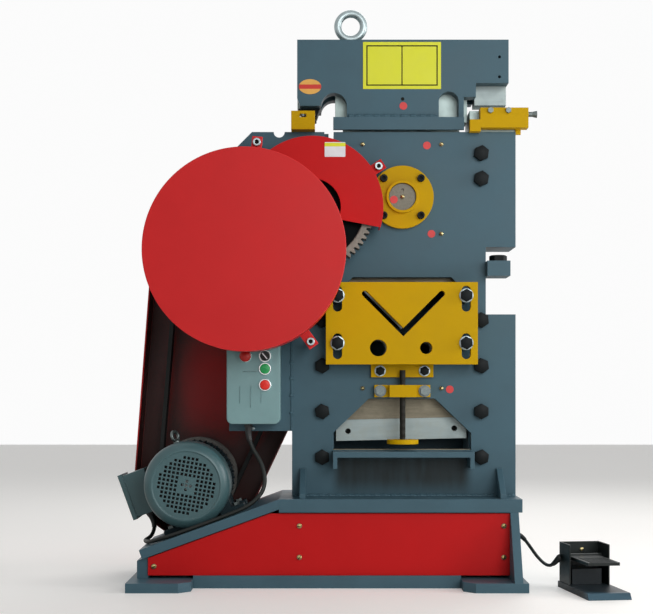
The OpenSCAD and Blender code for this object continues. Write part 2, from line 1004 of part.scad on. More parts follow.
// Fasteners
module through_bolt(at, nut) {
  hex_y(at, -bolt_head_h, bolt_head_h, bolt_head_r);
  rod_y(at, -over, frame_d + over, bolt_r);
  if (nut) hex_y(at, frame_d, bolt_head_h, bolt_head_r);
}

module cap_screw(at, y, len) {
  difference() {
    rod_y(at, y - cap_screw_h, cap_screw_h, cap_screw_r);
    hex_y(at, y - cap_screw_h - over, cap_screw_h / 2 + over, cap_shank_r);
  }
  rod_y(at, y - over, len + over, cap_shank_r);
}

function strap_spots() =
  [for (z = [upper_lift + upper_bracket[2] / 2, lower_lift + lower_bracket[2] / 2],
    x = [-bracket_bolt_half, bracket_bolt_half]) [ram_x + x, base_h + z]];

module bracket_bolt(at, y) {
  hex_y(at, y - washer_t - bracket_head_h, bracket_head_h, bracket_head_r);
  rod_y(at, y - washer_t - over, washer_t + over, bracket_head_r + washer_t);
  rod_y(at, y - over, -y + plate_t / 2, bracket_bolt_r);
}

function fly_tabs() = [for (share = tab_shares) fly_at + fly_guard_r * share];
function gear_tabs() = [for (share = gear_tab_shares) gear_at + gear_guard_r * share];
function stop_bolt_at() = [throat_x + stop_bolt_share * stop_w, mid_y - stop_front];

module black_bolts() {
  spots_up = strap_spots();
  color(black) {
    for (at = bolt_spots) through_bolt(at, at[1] < throat_z);
    for (at = section_spots) {
      hex_y(at, section_front - washer_t - section_head_h, section_head_h - clear_gap, section_head_r);
      rod_y(at, section_front - washer_t - over, section_t + section_off + plate_t, section_bolt_r);
      rod_y(at, section_front - washer_t - clear_gap, washer_t, washer_r);
    }
    for (i = [0, 1]) bracket_bolt(spots_up[i], -upper_bracket[1]);
    for (at = flange_spots()) cap_screw(at, -flange_t, flange_t);
    for (at = fly_tabs()) cap_screw(at, fly_back - sheet, 2 * sheet);
    for (at = gear_tabs()) cap_screw(at, gear_back - sheet, 2 * sheet);
    translate([stop_bolt_at()[0], stop_bolt_at()[1], step_z + stop_lift + stop_h])
      cylinder(h = stop_bolt_h, r = stop_bolt_r, $fn = 6);
  }
}

module motor_axes() {
  translate([motor_at[0], 0, motor_at[1]]) rotate([0, -slope, 0]) children();
}

module eye_ring(r, bar) {
  rotate([90, 0, 0]) rotate_extrude() translate([r, 0]) circle(bar);
}

module zinc_fasteners() {
  spots_low = strap_spots();
  table_y = notch_die_y() - notch_table_d;
  table_top = frame_top + notch_table_lift + notch_table_h;
  color(zinc) {
    for (at = screw_spots()) {
      rod_y(at, base_front + panel_set - panel_head_h, panel_head_h, panel_head_r);
      rod_y(at, base_front + panel_set - over, panel_t + over, panel_shank);
      rod_y(at, base_back - panel_set, panel_head_h, panel_head_r);
      rod_y(at, base_back - panel_set - panel_t, panel_t + over, panel_shank);
    }
    for (i = [2, 3]) bracket_bolt(spots_low[i], -lower_bracket[1]);
    for (share = notch_screw_shares)
      hex_y([notch_table_x() + share * notch_table_w, table_top - notch_screw_down],
        table_y - notch_screw_h, notch_screw_h, notch_screw_r + over);
    translate([notch_table_x() + notch_table_w, table_y + notch_table_d / 2,
      table_top - notch_screw_down - notch_screw_r]) rotate([0, 90, 0]) {
      cylinder(h = flare_len, r = notch_screw_r);
      translate([0, 0, flare_len / 2]) cylinder(h = flare_len / 2, r1 = notch_screw_r, r2 = flare_r);
    }
    motor_axes() {
      for (x = [-pad_half, pad_half], y = pad_rows)
        translate([x, motor_front + y + pad_len / 2, pad_t - motor_h])
          cylinder(h = motor_head_h, r = motor_head_r, $fn = 6);
      translate([0, motor_front + motor_eye_y, fin_r]) {
        cylinder(h = motor_head_h, r = motor_head_r);
        translate([0, 0, motor_head_h + motor_eye_r]) rotate(motor_eye_turn)
          eye_ring(motor_eye_r, motor_eye_bar);
      }
    }
  }
}

module nipple(at, y) {
  hex_y(at, y - nipple_len / 2, nipple_len / 2, nipple_r);
  rod_y(at, y - nipple_len, nipple_len - over, nipple_r / 2);
}

module grease_nipples() {
  color("goldenrod") {
    for (side = [-1, 1]) {
      nipple([ram_x + side * nipple_half, frame_top - stroke - nipple_top], 0);
      nipple([ram_x + side * nipple_half, sill_z + shear_h + nipple_low], 0);
    }
    nipple([ram_x + nipple_half, ecc_at[1] - nipple_mid], 0);
  }
}

// Guards
module tab(from, to) {
  d = to - from;
  translate(from) rotate(atan2(d[1], d[0])) translate([0, -tab_half])
    square([norm(d) + tab_end, 2 * tab_half]);
}

module flywheel_guard() {
  color(red) {
    spin_y(fly_at) polygon([[0, fly_front], [fly_guard_r, fly_front], [fly_guard_r, fly_back],
      [fly_guard_r - sheet, fly_back], [fly_guard_r - sheet, fly_front + sheet],
      [0, fly_front + sheet]]);
    along_y(fly_back - sheet, sheet) for (at = fly_tabs()) difference() {
      tab(fly_at + (at - fly_at) * (fly_guard_r - sheet) / norm(at - fly_at), at);
      translate(fly_at) circle(fly_guard_r + weld_gap);
      translate(at) circle(cap_hole_r);
    }
  }
}

module gear_guard_outline(r) {
  cut = 2 * gear_guard_r;
  difference() {
    translate(gear_at) circle(r);
    translate(gear_at - [0, gear_cut_drop]) rotate(gear_cut_angle) translate([-cut, -2 * cut])
      square([2 * cut, 2 * cut]);
  }
}

module gear_guard() {
  depth = gear_back - gear_guard_y;
  color(red) {
    along_y(gear_guard_y, sheet) difference() {
      gear_guard_outline(gear_guard_r);
      translate(gear_at) circle(gear_hub_r);
    }
    along_y(gear_guard_y, depth) difference() {
      gear_guard_outline(gear_guard_r);
      translate(gear_at) circle(gear_guard_r - sheet);
    }
    along_y(gear_back - sheet, sheet) for (at = gear_tabs()) difference() {
      tab(gear_at + (at - gear_at) * (gear_guard_r - sheet / 2) / norm(at - gear_at), at);
      translate(at) circle(cap_hole_r);
    }
  }
}

module loop_guard(c1, r1, c2, r2, y0, y1) {
  color(red) {
    along_y(y0, y1 - y0) difference() {
      loop(c1, r1, c2, r2);
      loop(c1, r1 - sheet, c2, r2 - sheet);
    }
    along_y(y1 - sheet, sheet) loop(c1, r1 - over, c2, r2 - over);
  }
}

module belt_guard() {
  loop_guard(fly_at, belt_big_r, motor_at, belt_small_r, belt_front, belt_back);
}

module main_gear_guard() {
  loop_guard(ecc_at, main_guard_r, gear_at, main_small_r, frame_d + run_gap, main_back);
}

// Cover over both exits at the back, open below, where the offcuts fall out
module offcut_cover() {
  low = sill_z - cover_drop;
  high = ecc_at[1] - main_guard_r - guard_step - low;
  translate([ram_x, 0, 0]) {
    along_y(frame_d + weld_gap, cover_d) difference() {
      translate([-cover_half, low]) square([2 * cover_half, high]);
      translate([sheet - cover_half, low - over]) square([2 * (cover_half - sheet), high - sheet + over]);
    }
    translate([-cover_half, frame_d + cover_d, low]) cube([2 * cover_half, sheet, high]);
  }
}

module guard_stays() {
  post_y = belt_front + pulley_room;
  color(paint) {
    offcut_cover();
    for (at = fly_tabs()) difference() {
      rod_y(at, fly_back, -fly_back, stay_r);
      rod_y(at, fly_back - over, 2 * sheet, cap_hole_r);
    }
    for (at = gear_tabs()) difference() {
      rod_y(at, gear_back, -gear_back, stay_r);
      rod_y(at, gear_back - over, 2 * sheet, cap_hole_r);
    }
    for (a = belt_stay_angles)
      rod_y(fly_at + belt_stay_at * [cos(a), sin(a)], frame_d, belt_back - sheet - frame_d, belt_stay_r);
    difference() {
      translate([motor_at[0] - guard_post_w / 2, post_y, foot_t])
        cube([guard_post_w, guard_post_d, motor_at[1] - foot_t - small_pitch_r]);
      rod_y(motor_at, post_y - over, guard_post_d + 2 * over, belt_small_r + clear_gap);
    }
  }
}

// Motor
module motor_frame() {
  color(motor_paint) motor_axes() {
    difference() {
      union() {
        along_y(motor_front + shield_t, motor_len - 2 * shield_t) {
          circle(body_r);
          for (i = [0 : fin_count - 1])
            rotate(360 * i / fin_count) translate([0, -fin_t / 2]) square([fin_r, fin_t]);
        }
        for (y = [motor_front, motor_back - shield_t]) rod_y([0, 0], y, shield_t, shield_r);
        for (x = [-pad_half, pad_half], y = pad_rows)
          translate([x - pad_w / 2, motor_front + y, -motor_h]) cube([pad_w, pad_len, pad_t]);
        for (x = [-1, 1], y = pad_rows)
          translate([x > 0 ? body_r / 2 : -pad_web, motor_front + y, -motor_h])
            cube([pad_web - body_r / 2, pad_len, motor_h / 2]);
      }
      rod_y([0, 0], motor_front - over, motor_len + 2 * over, rotor_r + run_gap);
    }
  }
}

module grille_holes() {
  count = floor(grille_r / grille_pitch);
  for (i = [-count : count], k = [-count : count])
    let (d = grille_pitch * norm([i, k]))
    if (d < grille_r && (d > grille_blank || d < grille_pitch * 1.1))
      translate([i, k] * grille_pitch) circle(grille_hole_r);
}

module motor_cowl() {
  face_r = cowl_r - cowl_nose;
  nose_z = cowl_y + cowl_nose;
  inner_r = cowl_r - cowl_wall;
  color(motor_paint) motor_axes() {
    spin_y([0, 0]) difference() {
      union() {
        translate([0, nose_z]) square([cowl_r, cowl_len - cowl_nose]);
        translate([0, cowl_y]) square([face_r, cowl_nose]);
        intersection() {
          translate([face_r, nose_z]) circle(cowl_nose);
          translate([face_r, cowl_y]) square([cowl_nose, cowl_nose]);
        }
      }
      translate([0, nose_z]) square([inner_r, cowl_len]);
      translate([0, cowl_y - over]) square([face_r, cowl_nose + 2 * over]);
      translate([face_r, nose_z]) circle(cowl_nose - cowl_wall);
    }
    along_y(cowl_y, cowl_wall) difference() {
      circle(face_r + over);
      grille_holes();
    }
    for (a = [45 : 90 : 315]) rotate([0, a, 0])
      translate([shield_r + weld_gap, motor_front + seat_gap, -pad_t / 2])
        cube([inner_r - shield_r - weld_gap + cowl_wall / 2, cowl_wall * 4, pad_t]);
  }
}

module motor_terminal_box() {
  y = motor_front + terminal_y;
  neck = 26;
  color(motor_paint) motor_axes() {
    difference() {
      union() {
        translate([terminal_x, y, terminal_z]) cube([terminal_w, terminal_d, terminal_h]);
        translate([terminal_x + terminal_w - over, y + neck, terminal_z + neck])
          cube([-terminal_x - terminal_w, terminal_d - 2 * neck, terminal_h - 2 * neck]);
      }
      rod_y([0, 0], y - over, terminal_d + 2 * over, fin_r + clear_gap);
      translate([terminal_x - over, y + box_wall, terminal_z + box_wall])
        cube([terminal_w - 2 * box_wall, terminal_d - 2 * box_wall, terminal_h - 2 * box_wall]);
    }
    translate([terminal_x - lid_t, y - lid_lip, terminal_z - lid_lip])
      cube([lid_t, terminal_d + 2 * lid_lip, terminal_h + 2 * lid_lip]);
  }
}

module motor_shaft() {
  color(steel) rod_y(motor_at, cowl_y + cowl_nose, pulley_y + pulley_w - cowl_y - cowl_nose, rotor_r);
}

module motor_fan() {
  y = motor_front - fan_gap - fan_blade_d;
  color(dark_steel) translate([motor_at[0], 0, motor_at[1]]) difference() {
    union() {
      rod_y([0, 0], y + fan_blade_d - fan_t, fan_t, fan_r);
      rod_y([0, 0], y, fan_blade_d, bearing_r);
      for (i = [0 : fan_blades - 1]) rotate([0, 360 * i / fan_blades, 0])
        translate([fan_root, y + fan_t, -fan_t / 2])
          cube([fan_r - fan_t - fan_root, fan_blade_d - fan_t - fan_t / 2, fan_t]);
    }
    rod_y([0, 0], y - over, fan_blade_d + 2 * over, rotor_r + seat_gap);
  }
}

function belt_y(i) = pulley_y + pulley_edge + i * belt_step;

// Grooved pulley as half of its section: rim with V-grooves, web and hub
module pulley(at, pitch_r, bore_r, hub) {
  out_r = pitch_r + belt_out - clear_gap;
  rim_in = out_r - groove_depth - pulley_wall;
  web_y = pulley_y + pulley_w / 2;
  spin_y(at) difference() {
    union() {
      translate([rim_in, pulley_y]) square([out_r - rim_in, pulley_w]);
      translate([bore_r, web_y - pulley_wall]) square([rim_in - bore_r + over, 2 * pulley_wall]);
      translate([bore_r, pulley_y]) square([hub - bore_r, pulley_w]);
    }
    for (i = [0 : belt_count - 1]) polygon([[out_r + over, belt_y(i) - groove_top / 2],
      [out_r - groove_depth, belt_y(i) - groove_low / 2], [out_r - groove_depth, belt_y(i) + groove_low / 2],
      [out_r + over, belt_y(i) + groove_top / 2]]);
  }
}

module motor_pulley() {
  color(dark_steel) pulley(motor_at, small_pitch_r, rotor_r + seat_gap, 2 * bearing_r);
}

module belt_pulley() {
  color(dark_steel) pulley(fly_at, big_pitch_r, drive_r + seat_gap, hub_r);
}

module v_belts() {
  color(black) for (i = [0 : belt_count - 1]) along_y(belt_y(i) - belt_w / 2, belt_w) difference() {
    loop(fly_at, big_pitch_r + belt_out, motor_at, small_pitch_r + belt_out);
    loop(fly_at, big_pitch_r - belt_in, motor_at, small_pitch_r - belt_in);
  }
}

// Flywheel and gears
module wheel_section(r, w, rim, web, bore_r, y) {
  translate([r - rim, y]) square([rim, w]);
  translate([bore_r, y + (w - web) / 2]) square([r - rim - bore_r + over, web]);
  translate([bore_r, y]) square([hub_r - bore_r, w]);
}

module flywheel() {
  color(dark_steel) spin_y(fly_at) wheel_section(fly_r, fly_w, fly_rim, fly_web, drive_r + seat_gap, fly_y);
}

module placed_gear(at, y, w, m, teeth, turn) {
  along_y(y, w) translate(at) rotate(turn) gear_outline(m, teeth);
}

module pinion_shaft() {
  front = fly_y - flywheel_gap;
  color(steel) {
    rod_y(fly_at, front, pulley_y + pulley_w + flywheel_gap - front, drive_r);
    placed_gear(fly_at, gear_y - pinion_over, gear_w + 2 * pinion_over, first_module, pinion1_teeth,
      first_angle - 180);
  }
}

module cut_gear(at, y, w, m, teeth, turn, bore_r) {
  root_r = m * (teeth - 2.5) / 2;
  side = (w - web_t) / 2;
  difference() {
    placed_gear(at, y, w, m, teeth, turn);
    rod_y(at, y - over, w + 2 * over, bore_r);
    for (y0 = [y - over, y + w - side]) difference() {
      rod_y(at, y0, side + over, root_r - rim_t);
      rod_y(at, y0 - over, side + 3 * over, hub_r);
    }
  }
}

module front_gear() {
  color(dark_steel) cut_gear(gear_at, gear_y, gear_w, first_module, front_teeth,
    first_angle + 180 / front_teeth, drive_r + seat_gap);
}

module second_pinion_shaft() {
  front = gear_y - gear_room / 2;
  back = main_y + main_w + gear_room / 2;
  color(steel) {
    rod_y(gear_at, front, back - front, drive_r);
    placed_gear(gear_at, main_y - pinion_over, main_w + 2 * pinion_over, second_module, pinion2_teeth,
      second_angle - 180);
  }
}

module main_gear() {
  color(dark_steel) cut_gear(ecc_at, main_y, main_w, second_module, main_teeth,
    second_angle + 180 / main_teeth, shaft_r + run_gap);
}

module eccentric_shaft() {
  front = -flange_t - shaft_nose;
  color(steel) difference() {
    union() {
      rod_y(ecc_at, front, main_y + main_w + gear_room / 2 - front, shaft_r);
      rod_y(ecc_at + [0, throw], ram_front, ram_t, journal_r);
      rod_y(ecc_at, frame_d + clutch_gap, main_gap - 2 * clutch_gap, clutch_r);
    }
    rod_y(ecc_at + [0, shaft_r / 2], front - over, shaft_nose + over, shaft_nose);
  }
}

module eccentric_ring() {
  color(bronze) difference() {
    rod_y(ecc_at + [0, throw], ram_front + slide_gap, ram_t - 2 * slide_gap, ring_r);
    rod_y(ecc_at + [0, throw], ram_front, ram_t, journal_r + seat_gap);
  }
}

// Ram and its head
module ram_outline() {
  low_left = sill_z + edge_lift + ram_back_lift;
  left_arm_z = frame_top + left_arm_lift;
  right_arm_z = frame_top + right_arm_lift;
  notch_top = left_arm_z + arch_r + core_notch;
  core_top = head_top - core_inset;
  core_left = ram_x - core_half;
  core_right = ram_x + core_half;
  polygon([[ram_x - shear_half, low_left], [ram_x + shear_half, low_left + edge_rise],
    [ram_x + shear_half, shear_head_z], [ram_right, shear_head_z], [ram_right, cheek_z],
    [core_right, cheek_z], [core_right, right_arm_z], [head_x + head_w, right_arm_z],
    [head_x + head_w, core_top], [head_x, core_top], [head_x, left_arm_z],
    [head_x + left_arm_w, left_arm_z], [head_x + left_arm_w, notch_top], [core_left, notch_top],
    [core_left, cheek_z], [ram_left, cheek_z], [ram_left, shear_head_z],
    [ram_x - shear_half, shear_head_z]]);
}

module blade_outline(grow) {
  z = sill_z + edge_lift;
  polygon([[ram_x - edge_side, z], [ram_x + edge_side, z + edge_rise],
    [ram_x + edge_side, z + edge_rise + blade_h + grow], [ram_x - edge_side, z + blade_h + grow]]);
}

function blade_hole_spots() = [for (side = [-1, 1])
  [ram_x + side * (edge_side - blade_hole_in),
    sill_z + edge_lift + blade_hole_up + (side + 1) / 2 * edge_rise]];

module ram() {
  window_x = ring_r + throw + clear_gap;
  window_z = ring_r + yoke_slack;
  color(steel) difference() {
    along_y(ram_front, ram_t) difference() {
      ram_outline();
      translate(ecc_at + [-window_x, throw - window_z]) square(2 * [window_x, window_z]);
      translate([ram_x - knife_half - seat_gap, knife_low - seat_gap])
        square([2 * knife_half, knife_h] + 2 * [seat_gap, seat_gap]);
    }
    blade_seat();
  }
}

module blade_seat() {
  z = sill_z + edge_lift;
  along_y(ram_front - over, blade_t + over)
    polygon([[ram_x - shear_half - over, z], [ram_x + shear_half + over, z],
      [ram_x + shear_half + over, z + blade_h + seat_gap + edge_rise * (1 + over / edge_side)],
      [ram_x - shear_half - over, z + blade_h + seat_gap - edge_rise * over / edge_side]]);
}

module cheek_outline() {
  left_arm_z = frame_top + left_arm_lift;
  right_step_z = frame_top + right_step_lift;
  right_arm_z = frame_top + right_arm_lift;
  translate([head_x, 0]) difference() {
    polygon([[0, left_arm_z + left_nose_h], [left_nose, left_arm_z], [left_arm_w, left_arm_z],
      [left_arm_w, cheek_z], [right_leg_in, cheek_z], [right_leg_in, right_step_z],
      [right_step_in, right_step_z], [right_step_in, right_arm_z], [head_w, right_arm_z],
      [head_w, head_top], [0, head_top]]);
    translate([arch_in, left_arm_z]) circle(arch_r);
    translate([arch_in - arch_r, cheek_z - over]) square([2 * arch_r, left_arm_z - cheek_z + over]);
    translate([slot_arch_in, frame_top + slot_arch_h]) circle(slot_arch_r);
    translate([slot_arch_in - slot_arch_r, cheek_z - over])
      square([2 * slot_arch_r, frame_top + slot_arch_h - cheek_z + over]);
    for (row = head_hole_rows) translate([head_w - head_hole_in, head_top - row]) circle(head_hole_r);
  }
}

module head_cheeks() {
  color(paint) {
    along_y(-head_proud, ram_front + head_proud) cheek_outline();
    along_y(ram_back, frame_d - head_proud - ram_back) cheek_outline();
    translate([head_x + apron_left, -head_proud - apron_t, frame_top + apron_gap])
      cube([right_leg_in - apron_left, apron_t, apron_h]);
  }
}

function notch_x() = head_x + right_step_in;

// Five knives, parted along the V-slot and through both bar holes
module section_knives() {
  along_y(ram_front, ram_t) difference() {
    translate([ram_x - knife_half, knife_low]) square([2 * knife_half, knife_h]);
    v_slot(v_w + 2 * over, knife_half + v_w);
    bar_holes(over);
    translate([ram_x - weld_gap / 2, knife_low - over]) square([weld_gap, section_z + v_low - knife_low]);
    translate([ram_x - knife_half - over, section_z + hole_low - weld_gap / 2])
      square([2 * (knife_half + over), weld_gap]);
  }
}

module ram_blades() {
  color(steel) {
    difference() {
      along_y(ram_front - slide_gap / 2, blade_t + slide_gap / 2) blade_outline(0);
      for (at = blade_hole_spots()) rod_y(at, ram_front - 2 * over, blade_t + 3 * over, blade_hole_r);
    }
    translate([notch_x(), ram_front, frame_top + right_arm_lift - notch_drop])
      cube([notch_w, ram_t, notch_drop]);
    section_knives();
  }
}

function punch_x() = head_x + left_arm_w / 2;
function arm_z() = frame_top + left_arm_lift;

module punch() {
  tip_z = frame_top + die_proud + die_open;
  holder_z = arm_z() - holder_h;
  half = holder_w / 2;
  color(black) {
    along_y(mid_y - holder_d / 2, holder_d)
      polygon([[punch_x() - half, arm_z()], [punch_x() + half, arm_z()],
        [punch_x() + half - holder_taper, holder_z], [punch_x() - half + holder_taper, holder_z]]);
    translate([punch_x(), mid_y, holder_z - nut_h]) cylinder(h = nut_h + over, r = nut_r);
    translate([punch_x(), mid_y, tip_z]) cylinder(h = holder_z - tip_z, r = punch_r);
  }
}

module head_eye_bolt() {
  color(zinc) translate([head_x + eye_in, mid_y, head_top - core_inset]) {
    cylinder(h = eye_collar_h + core_inset, r = eye_collar_r);
    translate([0, 0, core_inset + eye_collar_h + eye_ring_r + eye_bar_r - eye_sink])
      eye_ring(eye_ring_r, eye_bar_r);
  }
}

// Fixed tools and tables
function notch_die_y() = ram_front - die_side;

module lower_tools() {
  color(steel) {
    translate([shear_x + weld_gap, plate_t - blade_t + weld_gap, sill_z + lower_blade_proud - lower_blade_h])
      cube([shear_w - 2 * weld_gap, blade_t - weld_gap, lower_blade_h]);
    translate([punch_x(), mid_y, frame_top + die_proud - die_h]) difference() {
      cylinder(h = die_h, r = die_r);
      translate([0, 0, -over]) cylinder(h = die_h + 2 * over, r = punch_r + die_clear);
    }
    notch_die();
  }
}

module notch_die() {
  left = notch_x() - die_wall;
  inner_left = notch_x() - notch_clear;
  depth = ram_t + 2 * die_side;
  translate([0, 0, frame_top]) linear_extrude(notch_die_h) difference() {
    translate([left, notch_die_y()]) square([frame_right - left, depth]);
    translate([inner_left, ram_front - notch_clear])
      square([frame_right - inner_left + over, ram_t + 2 * notch_clear]);
  }
}

module support_table() {
  z = sill_z - over - table_t;
  color(paint) {
    translate([shear_x, -table_d, z]) cube([shear_w, table_d, table_t]);
    for (x = [shear_x, shear_x + shear_w - table_leg_t])
      translate([x, -table_d, z - table_leg_h]) cube([table_leg_t, table_d, table_leg_h + over]);
  }
}

module hold_down_brackets() {
  spots_all = strap_spots();
  color(yellow) difference() {
    union() {
      translate([ram_x - upper_bracket[0] / 2, -upper_bracket[1], base_h + upper_lift])
        cube(upper_bracket);
      translate([ram_x - lower_bracket[0] / 2, -lower_bracket[1], base_h + lower_lift])
        cube(lower_bracket);
      translate([ram_x - guide_block_w / 2, -guide_block_d, base_h + lower_lift])
        cube([guide_block_w, guide_block_d, lower_bracket[2]]);
    }
    translate([ram_x, screw_y, base_h + lower_lift - over])
      cylinder(h = lower_bracket[2] + 2 * over, r = screw_r + run_gap);
    for (at = spots_all) rod_y(at, -guide_block_d, guide_block_d + over, bracket_bolt_r + clear_gap);
  }
}

module hold_down_screw() {
  low = sill_z + foot_lift + foot_disc_t;
  color(black) translate([ram_x, screw_y, low]) cylinder(h = base_h + screw_top - low, r = screw_r);
}

module hold_down_foot() {
  color(yellow) translate([ram_x, screw_y, sill_z + foot_lift]) cylinder(h = foot_disc_t, r = foot_disc_r);
}

module section_plate() {
  color(yellow) along_y(section_front, section_t) difference() {
    translate([section_x, section_z]) square([section_w, section_h]);
    v_slot(v_w, v_rise);
    bar_holes(0);
    spots(section_spots) {
      translate([-slot_half, slot_half - slot_down])
        square([2 * slot_half, slot_up + slot_down - 2 * slot_half]);
      translate([0, slot_half - slot_down]) circle(slot_half);
      translate([0, slot_up - slot_half]) circle(slot_half);
    }
  }
}

module punch_gauge() {
  x = punch_x() - gauge_w / 2 - gauge_in;
  color(yellow) difference() {
    along_x(x, gauge_w) polygon([[-gauge_front, frame_top], [gauge_back, frame_top],
      [gauge_back, frame_top + gauge_base], [-gauge_gap, frame_top + gauge_base],
      [-gauge_gap, frame_top + gauge_h], [-gauge_front, frame_top + gauge_h]]);
    translate([x + (gauge_w - gauge_slot[0]) / 2, -gauge_front - over, frame_top + gauge_slot_up])
      cube([gauge_slot[0], gauge_front + over, gauge_slot[1]]);
  }
}

function notch_table_x() = notch_x() + notch_table_in;

module notch_table() {
  y = notch_die_y() - notch_table_d;
  z = frame_top + notch_table_lift;
  color(yellow) {
    translate([notch_table_x(), y, z]) cube([notch_table_w, notch_table_d, notch_table_h]);
    translate([notch_table_x() - notch_block_w, y, frame_top - notch_block_drop])
      cube([notch_block_w + over, -y - head_proud, notch_block_h]);
    translate([frame_right, 0, z + notch_table_lift - notch_bracket[2]])
      cube([notch_bracket[0], notch_table_d + y, notch_bracket[2]]);
  }
}

module throat_stop() {
  color(paint) translate([throat_x, -stop_front, step_z + stop_lift]) cube([stop_w, stop_d, stop_h]);
}

// Control box
function box_x() = bracket_left + box_in;
function box_z() = bracket_z + box_lift;
function control_spots() = [for (row = control_rows) [box_x() + control_column, box_z() + row]];
function estop_at() = [box_x() + estop_column, box_z() + control_rows[2]];

module box_outline() {
  translate([box_x(), box_z()]) rounded(box_w, box_h, box_corner);
}

module control_box() {
  color(green_grey) difference() {
    along_y(-box_d + cover_t, box_d - cover_t) box_outline();
    along_y(-box_d + cover_t - over, box_d - cover_t - box_wall)
      translate([box_x() + box_wall, box_z() + box_wall])
      rounded(box_w - 2 * box_wall, box_h - 2 * box_wall, box_corner - box_wall);
  }
}

module control_cover() {
  color(green_grey) along_y(-box_d, cover_t) difference() {
    box_outline();
    for (at = concat(control_spots(), [estop_at()])) translate(at) circle(button_hole_r);
  }
}

module button_bezels() {
  color(zinc) for (at = concat(control_spots(), [estop_at()])) difference() {
    rod_y(at, -box_d - bezel_t, bezel_t, bezel_r);
    rod_y(at, -box_d - bezel_t - over, bezel_t + 2 * over, bezel_bore_r);
  }
}

module push_button(at) {
  front = -box_d - bezel_t - button_proud;
  rod_y(at, front, button_len, button_r);
  rod_y(at, front, button_cap_t, button_cap_r);
}

module green_button() {
  color("#2f9e4f") push_button(control_spots()[1]);
}

module red_button() {
  color("#d43a2a") push_button(control_spots()[0]);
}

module estop_button() {
  front = -box_d - bezel_t - button_proud - estop_t;
  color("#c8201f") {
    rod_y(estop_at(), front, estop_t, estop_r);
    rod_y(estop_at(), front + estop_t - over, button_len, button_r);
  }
}

module selector_switch() {
  at = control_spots()[2];
  front = -box_d - bezel_t - knob_t;
  color(black) {
    rod_y(at, front, button_len, knob_r);
    rod_y(at, front, knob_t - clear_gap, knob_cap_r);
    translate([at[0], front - knob_bar[1] + over, at[1]]) rotate([0, -knob_turn, 0])
      translate([-knob_bar[0] / 2, 0, -knob_bar[2] / 2]) cube(knob_bar);
  }
}

// Pedal
module pedal_axes() {
  translate([pedal_at[0], pedal_at[1], 0]) rotate(pedal_turn) children();
}

function hood_y() = pedal_len / 2 - hood_back - hood_d;
function pin_y() = pedal_len / 2 - hood_back - pin_back;
function pin_z() = pedal_t + treadle_lift;

module pedal_base() {
  half = pedal_len / 2;
  color(black) pedal_axes() {
    along_x(-pedal_w / 2, pedal_w)
      polygon([[-half, 0], [half, 0], [half, pedal_t], [pedal_lip - half, pedal_t]]);
    translate([-switch_w / 2, half - hood_back - hood_t - clear_gap - switch_d, pedal_t - over])
      cube([switch_w, switch_d, switch_h + over]);
  }
}

module pedal_hood() {
  inner = hood_w - 2 * hood_t;
  color(black) pedal_axes() {
    translate([0, 0, pedal_t]) linear_extrude(hood_h) difference() {
      translate([-hood_w / 2, hood_y()]) square([hood_w, hood_d]);
      translate([-inner / 2, hood_y() - over]) square([inner, hood_d - hood_t + over]);
    }
    translate([-hood_w / 2 + hood_t / 2, pin_y(), pin_z()]) rotate([0, 90, 0])
      cylinder(h = hood_w - hood_t, r = pin_r);
  }
}

module pedal_treadle() {
  lug_w = hood_w - 2 * hood_t - 2 * lug_gap;
  color(dark_steel) pedal_axes() difference() {
    union() {
      translate([-treadle_w / 2, pin_y() - treadle_len, pin_z() - treadle_t / 2])
        cube([treadle_w, treadle_len, treadle_t]);
      translate([-lug_w / 2, pin_y(), pin_z()]) rotate([0, 90, 0]) cylinder(h = lug_w, r = lug_r);
    }
    translate([-hood_w / 2, pin_y(), pin_z()]) rotate([0, 90, 0]) cylinder(h = hood_w, r = pin_r + run_gap);
  }
}

// Cables: one tube swept along a smooth curve through the route's points
function smooth(p, i, t) =
  let (last = len(p) - 1, a = p[max(i - 1, 0)], b = p[i], c = p[min(i + 1, last)], d = p[min(i + 2, last)])
  0.5 * (2 * b + (c - a) * t + (2 * a - 5 * b + 4 * c - d) * t * t + (3 * b - a - 3 * c + d) * t * t * t);

function smooth_path(p) =
  concat([for (i = [0 : len(p) - 2], k = [0 : cable_steps - 1]) smooth(p, i, k / cable_steps)],
    [p[len(p) - 1]]);

function ring_points(path, i, r) =
  let (t = path[min(i + 1, len(path) - 1)] - path[max(i - 1, 0)], n = t / norm(t),
    side = cross(n, [0.2, 1, 0.1]), u = side / norm(side), v = cross(n, u))
  [for (k = [0 : cable_sides - 1])
    path[i] + r * (u * cos(360 * k / cable_sides) + v * sin(360 * k / cable_sides))];

module tube(route, r) {
  path = smooth_path(route);
  rings = len(path);
  points = [for (i = [0 : rings - 1]) each ring_points(path, i, r)];
  sides = [for (i = [0 : rings - 2], k = [0 : cable_sides - 1])
    let (next = (k + 1) % cable_sides, a = i * cable_sides, b = a + cable_sides)
    each [[a + k, a + next, b + next], [a + k, b + next, b + k]]];
  start = [for (k = [1 : cable_sides - 2]) [0, k + 1, k]];
  base = (rings - 1) * cable_sides;
  end = [for (k = [1 : cable_sides - 2]) [base, base + k, base + k + 1]];
  polyhedron(points, concat(sides, start, end));
}

module motor_cable() {
  color(black) tube(concat(motor_route, [[terminal_gland[0], gland_y, terminal_gland[1]]]), motor_cable_r);
}

module pedal_cable() {
  end = pedal_spot(-hood_w / 2 - grommet_len, hood_grommet[0]);
  color(black) tube(concat(pedal_route, [[end[0], end[1], hood_grommet[1]]]), pedal_cable_r);
}

module gland(from, way, reach = gland_len) {
  side = norm([way[0], way[1]]);
  translate(from) rotate([0, atan2(side, way[2]), atan2(way[1], way[0])]) cylinder(h = reach, r = gland_r);
}

